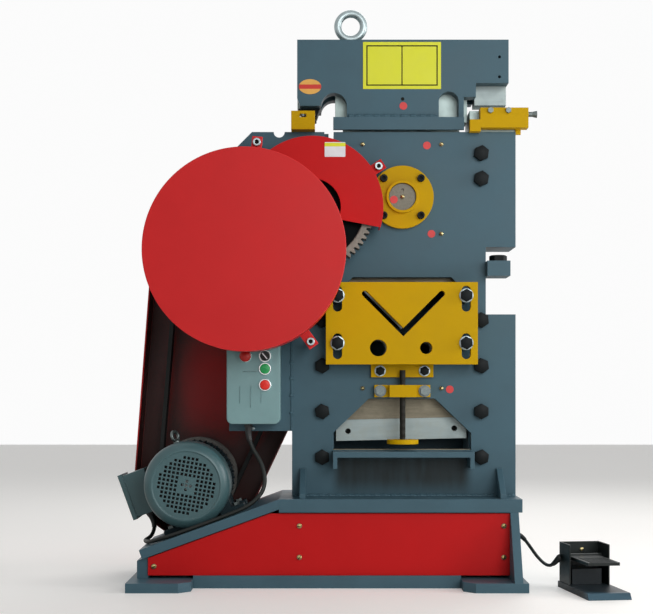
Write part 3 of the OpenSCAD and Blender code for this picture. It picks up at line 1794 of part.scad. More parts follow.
module cable_glands() {
  color(black) {
    gland([motor_route[0][0], motor_route[0][1], box_z()], [0, 0, -1]);
    motor_axes()
      gland([terminal_x + terminal_w / 2, motor_front + terminal_y + terminal_d / 2, terminal_z], [0, 0, -1]);
    gland([top_right - end_inset, pedal_route[0][1], pedal_route[0][2]], [1, 0, 0]);
    pedal_axes() gland([-hood_w / 2, hood_grommet[0], hood_grommet[1]], [-1, 0, 0], grommet_len);
  }
}

module put() {
  translate([-origin_x, -origin_y, 0]) children();
}

put() base_frame();
put() feet();
put() base_panels();
put() zinc_fasteners();
put() front_plate();
put() rear_plate();
put() frame_spacers();
put() bronze_bearings();
put() black_bolts();
put() drive_bracket();
put() shaft_housings();
put() bearing_flange();
put() grease_nipples();
put() flywheel_guard();
put() gear_guard();
put() belt_guard();
put() main_gear_guard();
put() guard_stays();
put() motor_frame();
put() motor_cowl();
put() motor_terminal_box();
put() v_belts();
put() motor_shaft();
put() motor_fan();
put() motor_pulley();
put() flywheel();
put() pinion_shaft();
put() belt_pulley();
put() front_gear();
put() second_pinion_shaft();
put() main_gear();
put() eccentric_shaft();
put() eccentric_ring();
put() ram();
put() head_cheeks();
put() ram_blades();
put() punch();
put() head_eye_bolt();
put() lower_tools();
put() support_table();
put() hold_down_brackets();
put() hold_down_screw();
put() hold_down_foot();
put() section_plate();
put() punch_gauge();
put() notch_table();
put() throat_stop();
put() control_box();
put() control_cover();
put() button_bezels();
put() estop_button();
put() selector_switch();
put() green_button();
put() red_button();
put() pedal_base();
put() pedal_hood();
put() pedal_treadle();
put() pedal_cable();
put() motor_cable();
put() cable_glands();
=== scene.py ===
import math

import bmesh
import bpy
from mathutils import Matrix, Vector


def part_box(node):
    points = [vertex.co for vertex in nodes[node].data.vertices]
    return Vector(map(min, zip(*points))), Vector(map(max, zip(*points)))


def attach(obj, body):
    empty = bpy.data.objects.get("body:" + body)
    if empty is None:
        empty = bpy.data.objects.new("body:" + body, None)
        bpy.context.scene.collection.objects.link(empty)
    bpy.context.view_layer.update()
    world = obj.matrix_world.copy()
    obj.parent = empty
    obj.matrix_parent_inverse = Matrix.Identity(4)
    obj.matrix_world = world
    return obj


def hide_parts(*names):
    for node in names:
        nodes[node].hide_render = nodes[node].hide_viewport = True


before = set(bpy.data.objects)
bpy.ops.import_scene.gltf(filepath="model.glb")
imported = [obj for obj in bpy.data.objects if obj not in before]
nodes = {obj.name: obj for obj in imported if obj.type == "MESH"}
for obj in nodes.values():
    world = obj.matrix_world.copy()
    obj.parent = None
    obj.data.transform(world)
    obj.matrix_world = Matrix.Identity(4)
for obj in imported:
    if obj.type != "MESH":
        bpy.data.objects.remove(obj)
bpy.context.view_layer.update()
scene = bpy.context.scene
scene.view_settings.view_transform = "Standard"
print("frame loaded:", len(nodes), "CAD nodes")

# sizes and places are in millimetres, from the machine's own datum:
# Y = 0 is the frame's front face, and plateLeft is the frame's left edge
plateLeft = -87
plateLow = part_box("front_plate")[0]
datum = {"x": plateLeft - plateLow[0] * 1000, "y": -plateLow[1] * 1000}
weldGap = 0.000001  # metres, within which points are one


def metres(size):
    return size / 1000


def perMetre(size):
    return 1000 / size


def at(x, y, z):
    return Vector((metres(x - datum["x"]), metres(y - datum["y"]), metres(z)))


# sRGB hex to linear, by the standard's own curve
def hexLinear(code):
    parts = [int(code[i:i + 2], 16) / 255 for i in (1, 3, 5)]
    return [c / 12.92 if c <= 0.04045 else ((c + 0.055) / 1.055) ** 2.4 for c in parts] + [1.0]


def shade(colour, gain, lift=0.0):
    return [min(1.0, c * gain + lift) for c in colour[:3]] + [1.0]


def wire(tree, node, values, links):
    for key, value in values.items():
        node.inputs[key].default_value = value
    for key, source in links.items():
        tree.links.new(source, node.inputs[key])


# adds a shader node with its settings and links, and gives its outputs
def addNode(tree, kind, values=None, links=None, stops=(), **settings):
    made = tree.nodes.new("ShaderNode" + kind)
    for key, value in settings.items():
        setattr(made, key, value)
    for i, (position, colour) in enumerate(stops):
        made.color_ramp.elements[i].position = position
        made.color_ramp.elements[i].color = colour
    wire(tree, made, values or {}, links or {})
    return made.outputs


def startMaterial(name):
    mat = bpy.data.materials.new(name)
    mat.use_nodes = True
    tree = mat.node_tree
    place = addNode(tree, "TexCoord")["Object"]
    return mat, tree, tree.nodes["Principled BSDF"], place


# sprayed enamel on steel plate: satin film with a fine orange peel, cloudy handling marks,
# a paler line along edges as painted highlight, and small chips through to the primer
enamelFilm = {"rough": 0.42, "ior": 1.5, "specular": 0.28, "cloud": 0.10, "cloudSize": 150, "dustSize": 9,
              "edge": 1.6, "edgeHighlight": 0.25, "wear": 0, "chipSize": 16, "peel": 3.0, "peelHeight": 0.6,
              "streak": (22, 60, 160), "hollow": 220}


def sprayedEnamel(name, given):
    look = {**enamelFilm, **given}
    mat, tree, shader, place = startMaterial(name)
    base = hexLinear(look["colour"])
    rough = look["rough"]
    cloud = addNode(tree, "TexNoise", {"Scale": perMetre(look["cloudSize"]), "Detail": 4.0, "Roughness": 0.6},
                    {"Vector": place})
    cloudy = addNode(tree, "ValToRGB", links={"Fac": cloud["Fac"]},
                     stops=[(0.34, shade(base, 1 - look["cloud"])),
                            (0.68, shade(base, 1 + look["cloud"] / 2))])
    dust = addNode(tree, "TexNoise", {"Scale": perMetre(look["dustSize"]), "Detail": 6.0, "Roughness": 0.7},
                   {"Vector": place})
    dusty = addNode(tree, "MapRange", {"From Min": 0.58, "From Max": 0.80, "To Max": 0.14},
                    {"Value": dust["Fac"]})
    coats = [(shade(base, 1.22, 0.008), dusty["Result"])]
    if "stain" in look:  # oil and dirt that ran down the plate together with painted shade under the table, in one patch with soft sides
        stain = look["stain"]
        corner = at(stain["left"], 0, stain["low"])
        far = at(stain["right"], 0, stain["high"])
        sides = [("X", corner.x, 1, stain["fade"]), ("X", far.x, -1, stain["fade"]),
                 ("Z", corner.z, 1, stain["run"]), ("Z", far.z, -1, stain["fade"])]
        streakMap = addNode(tree, "Mapping", {"Scale": [perMetre(size) for size in look["streak"]]},
                            {"Vector": place})
        streak = addNode(tree, "TexNoise", {"Scale": 1.0, "Detail": 4.0}, {"Vector": streakMap["Vector"]})
        drip = addNode(tree, "MapRange",
                       {"From Min": 0.30, "From Max": 0.62, "To Min": 0.80, "To Max": 1.0},
                       {"Value": streak["Fac"]})
        amount = drip["Result"]
        axes = addNode(tree, "SeparateXYZ", links={"Vector": place})
        for axis, border, way, blur in sides:
            reach = way * metres(blur / 2)
            ramp = addNode(tree, "MapRange", {"From Min": border - reach, "From Max": border + reach},
                           {"Value": axes[axis]}, interpolation_type="SMOOTHSTEP")
            amount = addNode(tree, "Math", links={0: amount, 1: ramp["Result"]}, operation="MULTIPLY")[0]
        deep = addNode(tree, "Math", {1: stain["depth"]}, {0: amount}, operation="MULTIPLY")
        coats.append((hexLinear(stain["colour"]), deep[0]))
    if "lip" in look:  # the pedal's front edge was sprayed with the machine's own colour
        lip = look["lip"]
        depth = addNode(tree, "SeparateXYZ", links={"Vector": place})
        front = addNode(tree, "MapRange",
                        {"From Min": at(0, lip["from"], 0).y, "From Max": at(0, lip["to"], 0).y},
                        {"Value": depth["Y"]})
        coats.append((hexLinear(lip["colour"]), front["Result"]))
    if "shadeInside" in look:  # painted shade: a deep guard's inner side is darkened where ambient occlusion finds it enclosed
        hollow = addNode(tree, "AmbientOcclusion", {"Distance": metres(look["hollow"])}, samples=8)
        shadedShare = addNode(tree, "MapRange", {"From Min": 0.80, "From Max": 0.55}, {"Value": hollow["AO"]})
        coats.append((hexLinear(look["shadeInside"]), shadedShare["Result"]))
    soft = addNode(tree, "Bevel", {"Radius": metres(look["edge"])}, samples=6)
    hard = addNode(tree, "NewGeometry")
    bend = addNode(tree, "VectorMath", links={0: soft["Normal"], 1: hard["Normal"]},
                   operation="DOT_PRODUCT")
    edge = addNode(tree, "MapRange", {"From Min": 0.995, "From Max": 0.90}, {"Value": bend["Value"]})
    # painted highlight: every edge gets a paler line, whatever the lamps
    edgeHighlight = addNode(tree, "Math", {1: look["edgeHighlight"]}, {0: edge["Result"]}, operation="MULTIPLY")
    coats.append((shade(base, 1.5, 0.03), edgeHighlight[0]))
    chips = addNode(tree, "TexNoise", {"Scale": perMetre(look["chipSize"]), "Detail": 5.0, "Roughness": 0.75},
                    {"Vector": place})
    chip = addNode(tree, "MapRange", {"From Min": 0.66 - look["wear"], "From Max": 0.70 - look["wear"]},
                   {"Value": chips["Fac"]})
    worn = addNode(tree, "Math", links={0: edge["Result"], 1: chip["Result"]}, operation="MULTIPLY")
    coats.append((hexLinear(look["chip"]), worn[0]))
    skin = cloudy["Color"]
    for colour, share in coats:
        skin = addNode(tree, "Mix", {"B": colour}, {"Factor": share, "A": skin}, data_type="RGBA")["Result"]
    gloss = addNode(tree, "MapRange",
                    {"From Min": 0.3, "From Max": 0.7, "To Min": rough - 0.06, "To Max": rough + 0.08},
                    {"Value": cloud["Fac"]})
    peel = addNode(tree, "TexNoise", {"Scale": perMetre(look["peel"]), "Detail": 2.0}, {"Vector": place})
    bump = addNode(tree, "Bump", {"Strength": 0.10, "Distance": metres(look["peelHeight"])},
                   {"Height": peel["Fac"], "Normal": soft["Normal"]})
    wire(tree, shader, {"IOR": look["ior"], "Specular IOR Level": look["specular"]},
         {"Base Color": skin, "Roughness": gloss["Result"], "Normal": bump["Normal"]})
    return mat


# bare steel, ground, turned or plated: fine drawn lines along one axis, a dull oil film in dark patches;
# a ring look leaves the middle of a wheel cast and black, and its rim cut bright
steelSkin = {"lines": (5, 5, 5), "drawn": 0.74, "lineHeight": 0.4, "ridgeHeight": 1.6, "filmSize": 60,
             "oil": 0.3, "edge": 1.0, "metallic": 1.0, "specular": 0.5}
waveTurn = 20  # radians that a wave texture makes in one unit


def workedSteel(name, given):
    look = {**steelSkin, **given}
    mat, tree, shader, place = startMaterial(name)
    base = hexLinear(look["colour"])
    rough = look["rough"]
    lay = addNode(tree, "Mapping", {"Scale": [perMetre(size) for size in look["lines"]]}, {"Vector": place})
    drawn = addNode(tree, "TexNoise", {"Scale": 1.0, "Detail": 3.0, "Roughness": 0.6},
                    {"Vector": lay["Vector"]})
    film = addNode(tree, "TexNoise", {"Scale": perMetre(look["filmSize"]), "Detail": 5.0, "Roughness": 0.65},
                   {"Vector": place})
    tone = addNode(tree, "ValToRGB", links={"Fac": drawn["Fac"]},
                   stops=[(0.3, shade(base, look["drawn"])), (0.7, base)])
    oily = addNode(tree, "MapRange", {"From Min": 0.45, "From Max": 0.72, "To Max": look["oil"]},
                   {"Value": film["Fac"]})
    oilTone = hexLinear(look["oilTone"]) if "oilTone" in look else shade(base, 0.32)
    coats = [(oilTone, oily["Result"])]
    if "paleAbove" in look:  # the ram's colour turns paler above a given height
        paleAbove = look["paleAbove"]
        axes = addNode(tree, "SeparateXYZ", links={"Vector": place})
        paleShare = addNode(tree, "MapRange",
                        {"From Min": metres(paleAbove["low"]), "From Max": metres(paleAbove["high"])},
                        {"Value": axes["Z"]})
        coats.append((hexLinear(paleAbove["colour"]), paleShare["Result"]))
    if "ring" in look:
        ring = look["ring"]
        hub = addNode(tree, "VectorMath", {1: at(*ring["centre"])}, {0: place}, operation="SUBTRACT")
        flat = addNode(tree, "VectorMath", {1: (1, 0, 1)}, {0: hub[0]}, operation="MULTIPLY")
        reach = addNode(tree, "VectorMath", links={0: flat[0]}, operation="LENGTH")
        web = addNode(tree, "MapRange", {"From Min": metres(ring["rim"]), "From Max": metres(ring["web"])},
                      {"Value": reach["Value"]})
        coats.append((hexLinear(ring["colour"]), web["Result"]))
    skin = tone["Color"]
    for colour, share in coats:
        skin = addNode(tree, "Mix", {"B": colour}, {"Factor": share, "A": skin}, data_type="RGBA")["Result"]
    gloss = addNode(tree, "MapRange",
                    {"From Min": 0.3, "From Max": 0.7, "To Min": rough + 0.10, "To Max": rough - 0.06},
                    {"Value": film["Fac"]})
    soft = addNode(tree, "Bevel", {"Radius": metres(look["edge"])}, samples=4)
    relief = {"Strength": 0.12, "Distance": metres(look["lineHeight"])}
    height = drawn["Fac"]
    if "thread" in look:  # ridges of a rolled thread, drawn coarser than its real pitch so that they show
        ridge = addNode(tree, "TexWave", {"Scale": perMetre(look["thread"]) * math.tau / waveTurn},
                        {"Vector": place}, bands_direction="Z", wave_profile="TRI")
        relief = {"Strength": 0.5, "Distance": metres(look["ridgeHeight"])}
        height = ridge["Fac"]
    bump = addNode(tree, "Bump", relief, {"Height": height, "Normal": soft["Normal"]})
    wire(tree, shader, {"Metallic": look["metallic"], "Specular IOR Level": look["specular"]},
         {"Base Color": skin, "Roughness": gloss["Result"], "Normal": bump["Normal"]})
    return mat


# moulded plastic, rubber or printed vinyl: low sheen, a fine grain from the mould and a little dust
mouldSkin = {"grain": 3.0, "grainHeight": 0.1, "ior": 1.5, "haze": 0.12, "hazeSize": 25, "edge": 0.8,
             "specular": 0.35}


def mouldedSkin(name, given):
    look = {**mouldSkin, **given}
    mat, tree, shader, place = startMaterial(name)
    base = hexLinear(look["colour"])
    rough = look["rough"]
    grain = addNode(tree, "TexNoise", {"Scale": perMetre(look["grain"]), "Detail": 2.0}, {"Vector": place})
    haze = addNode(tree, "TexNoise", {"Scale": perMetre(look["hazeSize"]), "Detail": 4.0},
                   {"Vector": place})
    tone = addNode(tree, "ValToRGB", links={"Fac": haze["Fac"]},
                   stops=[(0.35, base), (0.75, shade(base, 1 + look["haze"], look["haze"] / 20))])
    gloss = addNode(tree, "MapRange",
                    {"From Min": 0.3, "From Max": 0.7, "To Min": rough - 0.05, "To Max": rough + 0.08},
                    {"Value": haze["Fac"]})
    soft = addNode(tree, "Bevel", {"Radius": metres(look["edge"])}, samples=4)
    bump = addNode(tree, "Bump", {"Strength": 0.15, "Distance": metres(look["grainHeight"])},
                   {"Height": grain["Fac"], "Normal": soft["Normal"]})
    wire(tree, shader, {"IOR": look["ior"], "Specular IOR Level": look["specular"]},
         {"Base Color": tone["Color"], "Roughness": gloss["Result"],
          "Normal": bump["Normal"]})
    return mat


machinePaint = {"colour": "#425e6a", "chip": "#8d9a9c", "wear": 0.02, "edgeHighlight": 0.5, "specular": 0.18}
enamelLooks = {
    # blue-grey machine paint, satin, with a painted highlight and a few pale chips on its edges
    "machineEnamel": machinePaint,
    # the same paint with a black patch under the table, old oil together with painted shade of the table
    "stainedEnamel": {**machinePaint,
                      "stain": {"left": 30, "right": 394, "low": 252, "high": 345, "fade": 34, "run": 70,
                                "colour": "#141a18", "depth": 0.92}},
    # even red with little gloss on flat panels
    "redEnamel": {"colour": "#bb1416", "chip": "#d8645c", "cloud": 0.04, "edgeHighlight": 0.7, "specular": 0.12},
    # the same red on a spun disc, with a painted highlight as a pale line round its rolled edge
    "discEnamel": {"colour": "#c4191b", "chip": "#d8645c", "rough": 0.40, "cloud": 0.04, "edge": 3.5,
                   "edgeHighlight": 0.9, "specular": 0.26},
    # red outside, darkened in the deep of the guard as painted shade
    "shadedGuardEnamel": {"colour": "#bd1416", "chip": "#d8645c", "rough": 0.40, "cloud": 0.05, "edgeHighlight": 0.4,
                    "shadeInside": "#3a1410"},
    # dull ochre yellow, chipped to dark metal on the edges that are handled
    "yellowEnamel": {"colour": "#c29a00", "chip": "#5d5a4c", "wear": 0.03, "rough": 0.48, "cloud": 0.05,
                     "specular": 0.08},
    # glossy green-grey on pressed sheet, soft at its edges
    "motorEnamel": {"colour": "#446266", "chip": "#8b9696", "rough": 0.34, "edge": 3.0, "edgeHighlight": 0.35,
                    "specular": 0.4},
    # dark dipped paint on a sand casting
    "motorCasting": {"colour": "#24343a", "chip": "#5d6a6c", "rough": 0.55, "edgeHighlight": 0.2, "specular": 0.15},
    # pale powder coat with a fine pebbled skin and wide soft corners
    "boxPowderCoat": {"colour": "#76989a", "chip": "#a8bab8", "rough": 0.46, "edge": 6.0, "peel": 1.6,
                      "edgeHighlight": 0.15},
    # near black, worn to bare metal where a shoe rubs
    "blackEnamel": {"colour": "#0d1514", "chip": "#6c7375", "rough": 0.38, "wear": 0.04, "specular": 0.3},
    # worn dark paint with a blue-grey front edge
    "pedalEnamel": {"colour": "#182126", "chip": "#8b8f80", "rough": 0.40, "wear": 0.06,
                    "lip": {"from": -285, "to": -315, "colour": "#35505e"}},
}
steelLooks = {
    # bright shaft steel with fine grinding lines
    "groundSteel": {"colour": "#a4adae", "rough": 0.40, "lines": (90, 4, 1.6), "oil": 0.40},
    # grey tool steel with long faint lines and brown oil
    "knifeSteel": {"colour": "#8b9696", "rough": 0.50, "lines": (140, 18, 18), "drawn": 0.86, "oil": 0.35,
                   "oilTone": "#6f6b58"},
    # brownish rolled plate, turning paler towards its top
    "rolledSteel": {"colour": "#7d7768", "rough": 0.52, "lines": (70, 9, 9), "oil": 0.55,
                    "oilTone": "#3d3a31", "paleAbove": {"low": 1110, "high": 1190, "colour": "#93a19f"}},
    # dull turned shaft end, oily
    "turnedSteel": {"colour": "#6e6a60", "rough": 0.50, "lines": (5, 2, 5), "oil": 0.5,
                    "oilTone": "#3f3c34"},
    # dark even grey with a wet film
    "oiledCastIron": {"colour": "#5f5e5b", "rough": 0.46, "lines": (12, 12, 12), "oil": 0.6},
    # black cast web inside a bright cut rim
    "gearCasting": {"colour": "#75716a", "rough": 0.50, "lines": (10, 3, 10), "oil": 0.35,
                    "oilTone": "#4b473c",
                    "ring": {"centre": (-30.95, 0, 1007.5), "web": 137, "rim": 138, "colour": "#0d0f10"}},
    # matt black with a faint gleam
    "blackOxide": {"colour": "#0e1416", "rough": 0.50, "metallic": 0.1, "specular": 0.14},
    # dark greased screw
    "threadedRod": {"colour": "#17160f", "rough": 0.46, "thread": 18.85, "metallic": 0.4, "specular": 0.3},
    # dull grey plating
    "zincPlate": {"colour": "#717a79", "rough": 0.46},
    # pale plating in large cloudy patches
    "brightZinc": {"colour": "#a7b4b6", "rough": 0.38, "lines": (28, 28, 28), "oilTone": "#5d6a6e"},
    # nearly white plating with a sharp gleam
    "brightNickel": {"colour": "#f0f3f3", "rough": 0.22, "lines": (28, 28, 28), "drawn": 0.94, "oil": 0.10},
    # straw-coloured plating
    "yellowZinc": {"colour": "#b9a66c", "rough": 0.36, "lines": (4, 4, 4)},
    # pale yellow turned metal
    "freeCutBrass": {"colour": "#c4b483", "rough": 0.36, "lines": (4, 4, 4), "oil": 0.25},
    # warm brown turned metal
    "turnedBronze": {"colour": "#a9854f", "rough": 0.36, "lines": (6, 2, 6)},
}
mouldLooks = {
    # black with a satin, finely pebbled skin
    "blackNylon": {"colour": "#17191a", "rough": 0.46, "grain": 1.5, "grainHeight": 0.3, "ior": 1.53},
    # dusty black without gloss
    "beltRubber": {"colour": "#121514", "rough": 0.72, "grain": 2.0, "grainHeight": 0.4, "ior": 1.52},
    # black with a faint greenish sheen
    "cableSheath": {"colour": "#141917", "rough": 0.50, "grain": 2.5, "grainHeight": 0.3, "ior": 1.52,
                    "specular": 0.25},
    # smooth glossy caps
    "redAcetal": {"colour": "#d6281c", "rough": 0.28, "grain": 1.2, "ior": 1.48},
    # the mushroom's red is darkened as painted shade of the red disc above it
    "shadedMushroomAcetal": {"colour": "#a0150f", "rough": 0.30, "grain": 1.2, "ior": 1.48},
    "greenAcetal": {"colour": "#1f9650", "rough": 0.28, "grain": 1.2, "ior": 1.48},
    # flat printed film with a little sheen
    "yellowVinyl": {"colour": "#d4d61e", "rough": 0.40, "haze": 0.02},
    "goldVinyl": {"colour": "#d8a24a", "rough": 0.40},
    "redVinyl": {"colour": "#c93636", "rough": 0.42},
    "bandVinyl": {"colour": "#bd2a1d", "rough": 0.42},
    "whiteVinyl": {"colour": "#d5d8dc", "rough": 0.42},
    # matt black print, and painted shade in screw sockets, screw slots and the oil hole
    "blackPrintAndShade": {"colour": "#12130f", "rough": 0.60, "specular": 0.1},
}
finishes = {}
for make, looks in ((sprayedEnamel, enamelLooks), (workedSteel, steelLooks), (mouldedSkin, mouldLooks)):
    for name, look in looks.items():
        finishes[name] = make(name, look)
nodeFinish = {
    "machineEnamel": ["base_frame", "feet", "rear_plate", "frame_spacers", "drive_bracket", "shaft_housings",
                      "guard_stays", "head_cheeks", "support_table", "throat_stop"],
    "stainedEnamel": ["front_plate"],
    "redEnamel": ["base_panels", "gear_guard", "main_gear_guard"],
    "discEnamel": ["flywheel_guard"],
    "shadedGuardEnamel": ["belt_guard"],
    "yellowEnamel": ["bearing_flange", "hold_down_brackets", "hold_down_foot", "section_plate",
                     "punch_gauge", "notch_table"],
    "groundSteel": ["motor_shaft", "pinion_shaft", "second_pinion_shaft"],
    "turnedSteel": ["eccentric_shaft"],
    "rolledSteel": ["ram", "lower_tools"],
    "knifeSteel": ["ram_blades"],
    "oiledCastIron": ["flywheel", "main_gear", "belt_pulley", "motor_pulley"],
    "gearCasting": ["front_gear"],
    "blackOxide": ["black_bolts", "punch"],
    "threadedRod": ["hold_down_screw"],
    "zincPlate": ["zinc_fasteners"],
    "brightZinc": ["head_eye_bolt", "button_bezels"],
    "turnedBronze": ["bronze_bearings", "eccentric_ring"],
    "freeCutBrass": ["grease_nipples"],
    "motorEnamel": ["motor_cowl", "motor_terminal_box"],
    "motorCasting": ["motor_frame"],
    "boxPowderCoat": ["control_box", "control_cover"],
    "blackEnamel": ["pedal_hood", "pedal_treadle"],
    "pedalEnamel": ["pedal_base"],
    "blackNylon": ["motor_fan", "selector_switch", "cable_glands"],
    "beltRubber": ["v_belts"],
    "cableSheath": ["pedal_cable", "motor_cable"],
    "redAcetal": ["estop_button", "red_button"],
    "greenAcetal": ["green_button"],
}
for finish, members in nodeFinish.items():
    for member in members:
        mesh = nodes[member].data
        mesh.materials.clear()
        mesh.materials.append(finishes[finish])
print("finishes on CAD nodes:", sum(len(m) for m in nodeFinish.values()))

# camera at the photograph's place: level, a little below mid height, framed upwards by shift;
# clipEnd is in metres
cameraPlace = {"height": 537, "distance": 3900, "lens": 79.06, "sensor": 36, "shiftX": 0.0038,
               "shiftY": 0.1194, "clipEnd": 60}
camData = bpy.data.cameras.new("photoCamera")
camData.lens = cameraPlace["lens"]
camData.sensor_width = cameraPlace["sensor"]
camData.shift_x = cameraPlace["shiftX"]
camData.shift_y = cameraPlace["shiftY"]
camData.clip_end = cameraPlace["clipEnd"]
cam = bpy.data.objects.new("photoCamera", camData)
cam.location = at(0, -cameraPlace["distance"], cameraPlace["height"])
cam.rotation_euler = (math.pi / 2, 0, 0)
scene.collection.objects.link(cam)
scene.camera = cam

# the two cables: round sheathed leads on the CAD routes, eased so that no bend is too tight for the lead;
# their diameters are in metres
motorLead = {"diameter": 0.011, "route": [
    (-203, -50, 417), (-202, -50.5, 398), (-191, -55.5, 367), (-168, -68, 330), (-157, -80, 290),
    (-163, -89, 255), (-188, -94, 226), (-220, -97, 207), (-270, -99, 187), (-340, -100, 161),
    (-410, -97, 136), (-455, -70, 121), (-480, -20, 113), (-490, 35, 112), (-487, 76, 112.5),
    (-480, 103.5, 119.4), (-475.8, 121, 135.5), (-477.8, 129.1, 152.8), (-482.98, 131, 166.37)]}
pedalLead = {"diameter": 0.009, "route": [
    (530, 60, 125), (546, 52, 119), (562, 32, 98), (576, 8, 76), (588, -20, 61), (597, -48, 54.5),
    (604, -72, 55.5), (610, -88, 62), (616.5, -97.5, 71), (623.81, -102.1, 80)]}
leadEasing = {"steps": 8, "passes": 10}


# a curve through all the points of a route, then averaged with its neighbours pass by pass
def smoothRoute(route):
    points = [at(*p) for p in route]
    last = len(points) - 1
    path = []
    for i in range(last):
        a, b, c, d = points[max(i - 1, 0)], points[i], points[i + 1], points[min(i + 2, last)]
        for k in range(leadEasing["steps"]):
            t = k / leadEasing["steps"]
            squared = (2 * a - 5 * b + 4 * c - d) * t * t
            cubed = (3 * b - a - 3 * c + d) * t ** 3
            path.append(0.5 * (2 * b + (c - a) * t + squared + cubed))
    path.append(points[last])
    for _ in range(leadEasing["passes"]):
        path[2:-2] = [0.5 * path[i] + 0.25 * (path[i - 1] + path[i + 1]) for i in range(2, len(path) - 2)]
    return path


def startCurve(name, depth, finish):
    line = bpy.data.curves.new(name, "CURVE")
    line.dimensions = "3D"
    line.bevel_depth = depth
    line.bevel_resolution = 4
    line.use_fill_caps = True
    line.materials.append(finishes[finish])
    return line


def addSpline(line, path, radii=None):
    spline = line.splines.new("POLY")
    spline.points.add(len(path) - 1)
    for i, place in enumerate(path):
        spline.points[i].co = (*place, 1)
        spline.points[i].radius = radii[i] if radii else 1.0


def settle(obj, body, slot, *replaced):
    scene.collection.objects.link(obj)
    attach(obj, body)
    if replaced:
        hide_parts(*replaced)
    return obj


def layLead(name, lead, node):
    lead["path"] = smoothRoute(lead["route"])
    line = startCurve(name, lead["diameter"] / 2, "cableSheath")
    addSpline(line, lead["path"])
    obj = settle(bpy.data.objects.new(name, line), "machine", "black_rubber", node)


layLead("motorLeadSheath", motorLead, "motor_cable")
layLead("pedalLeadSheath", pedalLead, "pedal_cable")

# small turned, milled and stuck-on pieces are made facing +Z and then turned to face their way
facing = {"front": Matrix.Rotation(math.pi / 2, 4, "X"), "back": Matrix.Rotation(-math.pi / 2, 4, "X"),
          "right": Matrix.Rotation(math.pi / 2, 4, "Y"), "up": Matrix.Identity(4),
          "down": Matrix.Rotation(math.pi, 4, "X")}
sharpAngle = math.radians(32)


def vertsOf(geom):
    return [v for v in geom if isinstance(v, bmesh.types.BMVert)]


def edgesOf(geom):
    return [e for e in geom if isinstance(e, bmesh.types.BMEdge)]


def turnedPart(profile, steps=32):
    part = bmesh.new()
    line = [part.verts.new((metres(r), 0, metres(h))) for r, h in profile]
    for pair in zip(line, line[1:]):
        part.edges.new(pair)
    bmesh.ops.spin(part, geom=part.verts[:] + part.edges[:], cent=(0, 0, 0), axis=(0, 0, 1),
                   angle=2 * math.pi, steps=steps, use_merge=True)
    bmesh.ops.remove_doubles(part, verts=part.verts[:], dist=weldGap)
    bmesh.ops.recalc_face_normals(part, faces=part.faces[:])
    return part


def milledBlock(size):
    part = bmesh.new()
    bmesh.ops.create_cube(part, size=metres(1))
    bmesh.ops.scale(part, vec=size, verts=part.verts[:])
    return part


# hexagon head as it is made: a turned blank with a 30 degree crown, then six flats cut on it
hexShape = {"crown": 0.47, "slope": 0.577, "steps": 48}


def hexHead(flats, height):
    corner = flats / math.sqrt(3)
    crown = flats * hexShape["crown"]
    shoulder = height - (corner - crown) * hexShape["slope"]
    blank = [(0, height), (crown, height), (corner, shoulder), (corner, 0), (0, 0)]
    part = turnedPart(blank, hexShape["steps"])
    for k in range(6):
        angle = (k + 0.5) * math.pi / 3
        way = Vector((math.cos(angle), math.sin(angle), 0))
        cut = bmesh.ops.bisect_plane(part, geom=part.verts[:] + part.edges[:] + part.faces[:], dist=weldGap,
                                     plane_co=metres(way * flats / 2), plane_no=way, clear_outer=True)
        bmesh.ops.edgeloop_fill(part, edges=edgesOf(cut["geom_cut"]))
    bmesh.ops.recalc_face_normals(part, faces=part.faces[:])
    return part


# socket cap screw: a cylinder with a chamfer and a hexagon socket, whose faces take the third coat as painted
# shade of its depth
capShape = {"chamfer": 1, "socketDepth": 0.5, "steps": 36, "socketShadeCoat": 2}


def capHead(radius, height, socket):
    chamfer = capShape["chamfer"]
    top = radius - chamfer
    part = bmesh.new()
    rim = bmesh.ops.create_circle(part, cap_ends=False, radius=metres(top),
                                  segments=capShape["steps"])["verts"]
    hole = bmesh.ops.create_circle(part, cap_ends=False, radius=metres(socket), segments=6)["verts"]
    rimEdges = [e for e in part.edges if e.verts[0] in rim]
    holeEdges = [e for e in part.edges if e.verts[0] in hole]
    bmesh.ops.bridge_loops(part, edges=rimEdges + holeEdges)
    deep = bmesh.ops.extrude_edge_only(part, edges=holeEdges)["geom"]
    bmesh.ops.translate(part, vec=(0, 0, -metres(height * capShape["socketDepth"])), verts=vertsOf(deep))
    bmesh.ops.edgeloop_fill(part, edges=[e for e in edgesOf(deep) if e.is_boundary])
    for face in part.faces:
        if any(v.co.z < -weldGap for v in face.verts):
            face.material_index = capShape["socketShadeCoat"]
    for grow, drop in ((radius / top, chamfer), (1, height - chamfer)):
        skirt = bmesh.ops.extrude_edge_only(part, edges=rimEdges)["geom"]
        low = vertsOf(skirt)
        bmesh.ops.scale(part, vec=(grow, grow, 1), verts=low)
        bmesh.ops.translate(part, vec=(0, 0, -metres(drop)), verts=low)
        rimEdges = [e for e in edgesOf(skirt) if e.is_boundary]
    bmesh.ops.translate(part, vec=(0, 0, metres(height)), verts=part.verts[:])
    bmesh.ops.recalc_face_normals(part, faces=part.faces[:])
    return part


def addPart(whole, part, place, coat=0, roll=0.0, turn=facing["front"]):
    for face in part.faces:
        face.material_index = face.material_index or coat
    stand = Matrix.Translation(at(*place)) @ turn @ Matrix.Rotation(roll, 4, "Z")
    bmesh.ops.transform(part, matrix=stand, verts=part.verts[:])
    held = bpy.data.meshes.new("held")
    part.to_mesh(held)
    part.free()
    whole.from_mesh(held)
    bpy.data.meshes.remove(held)


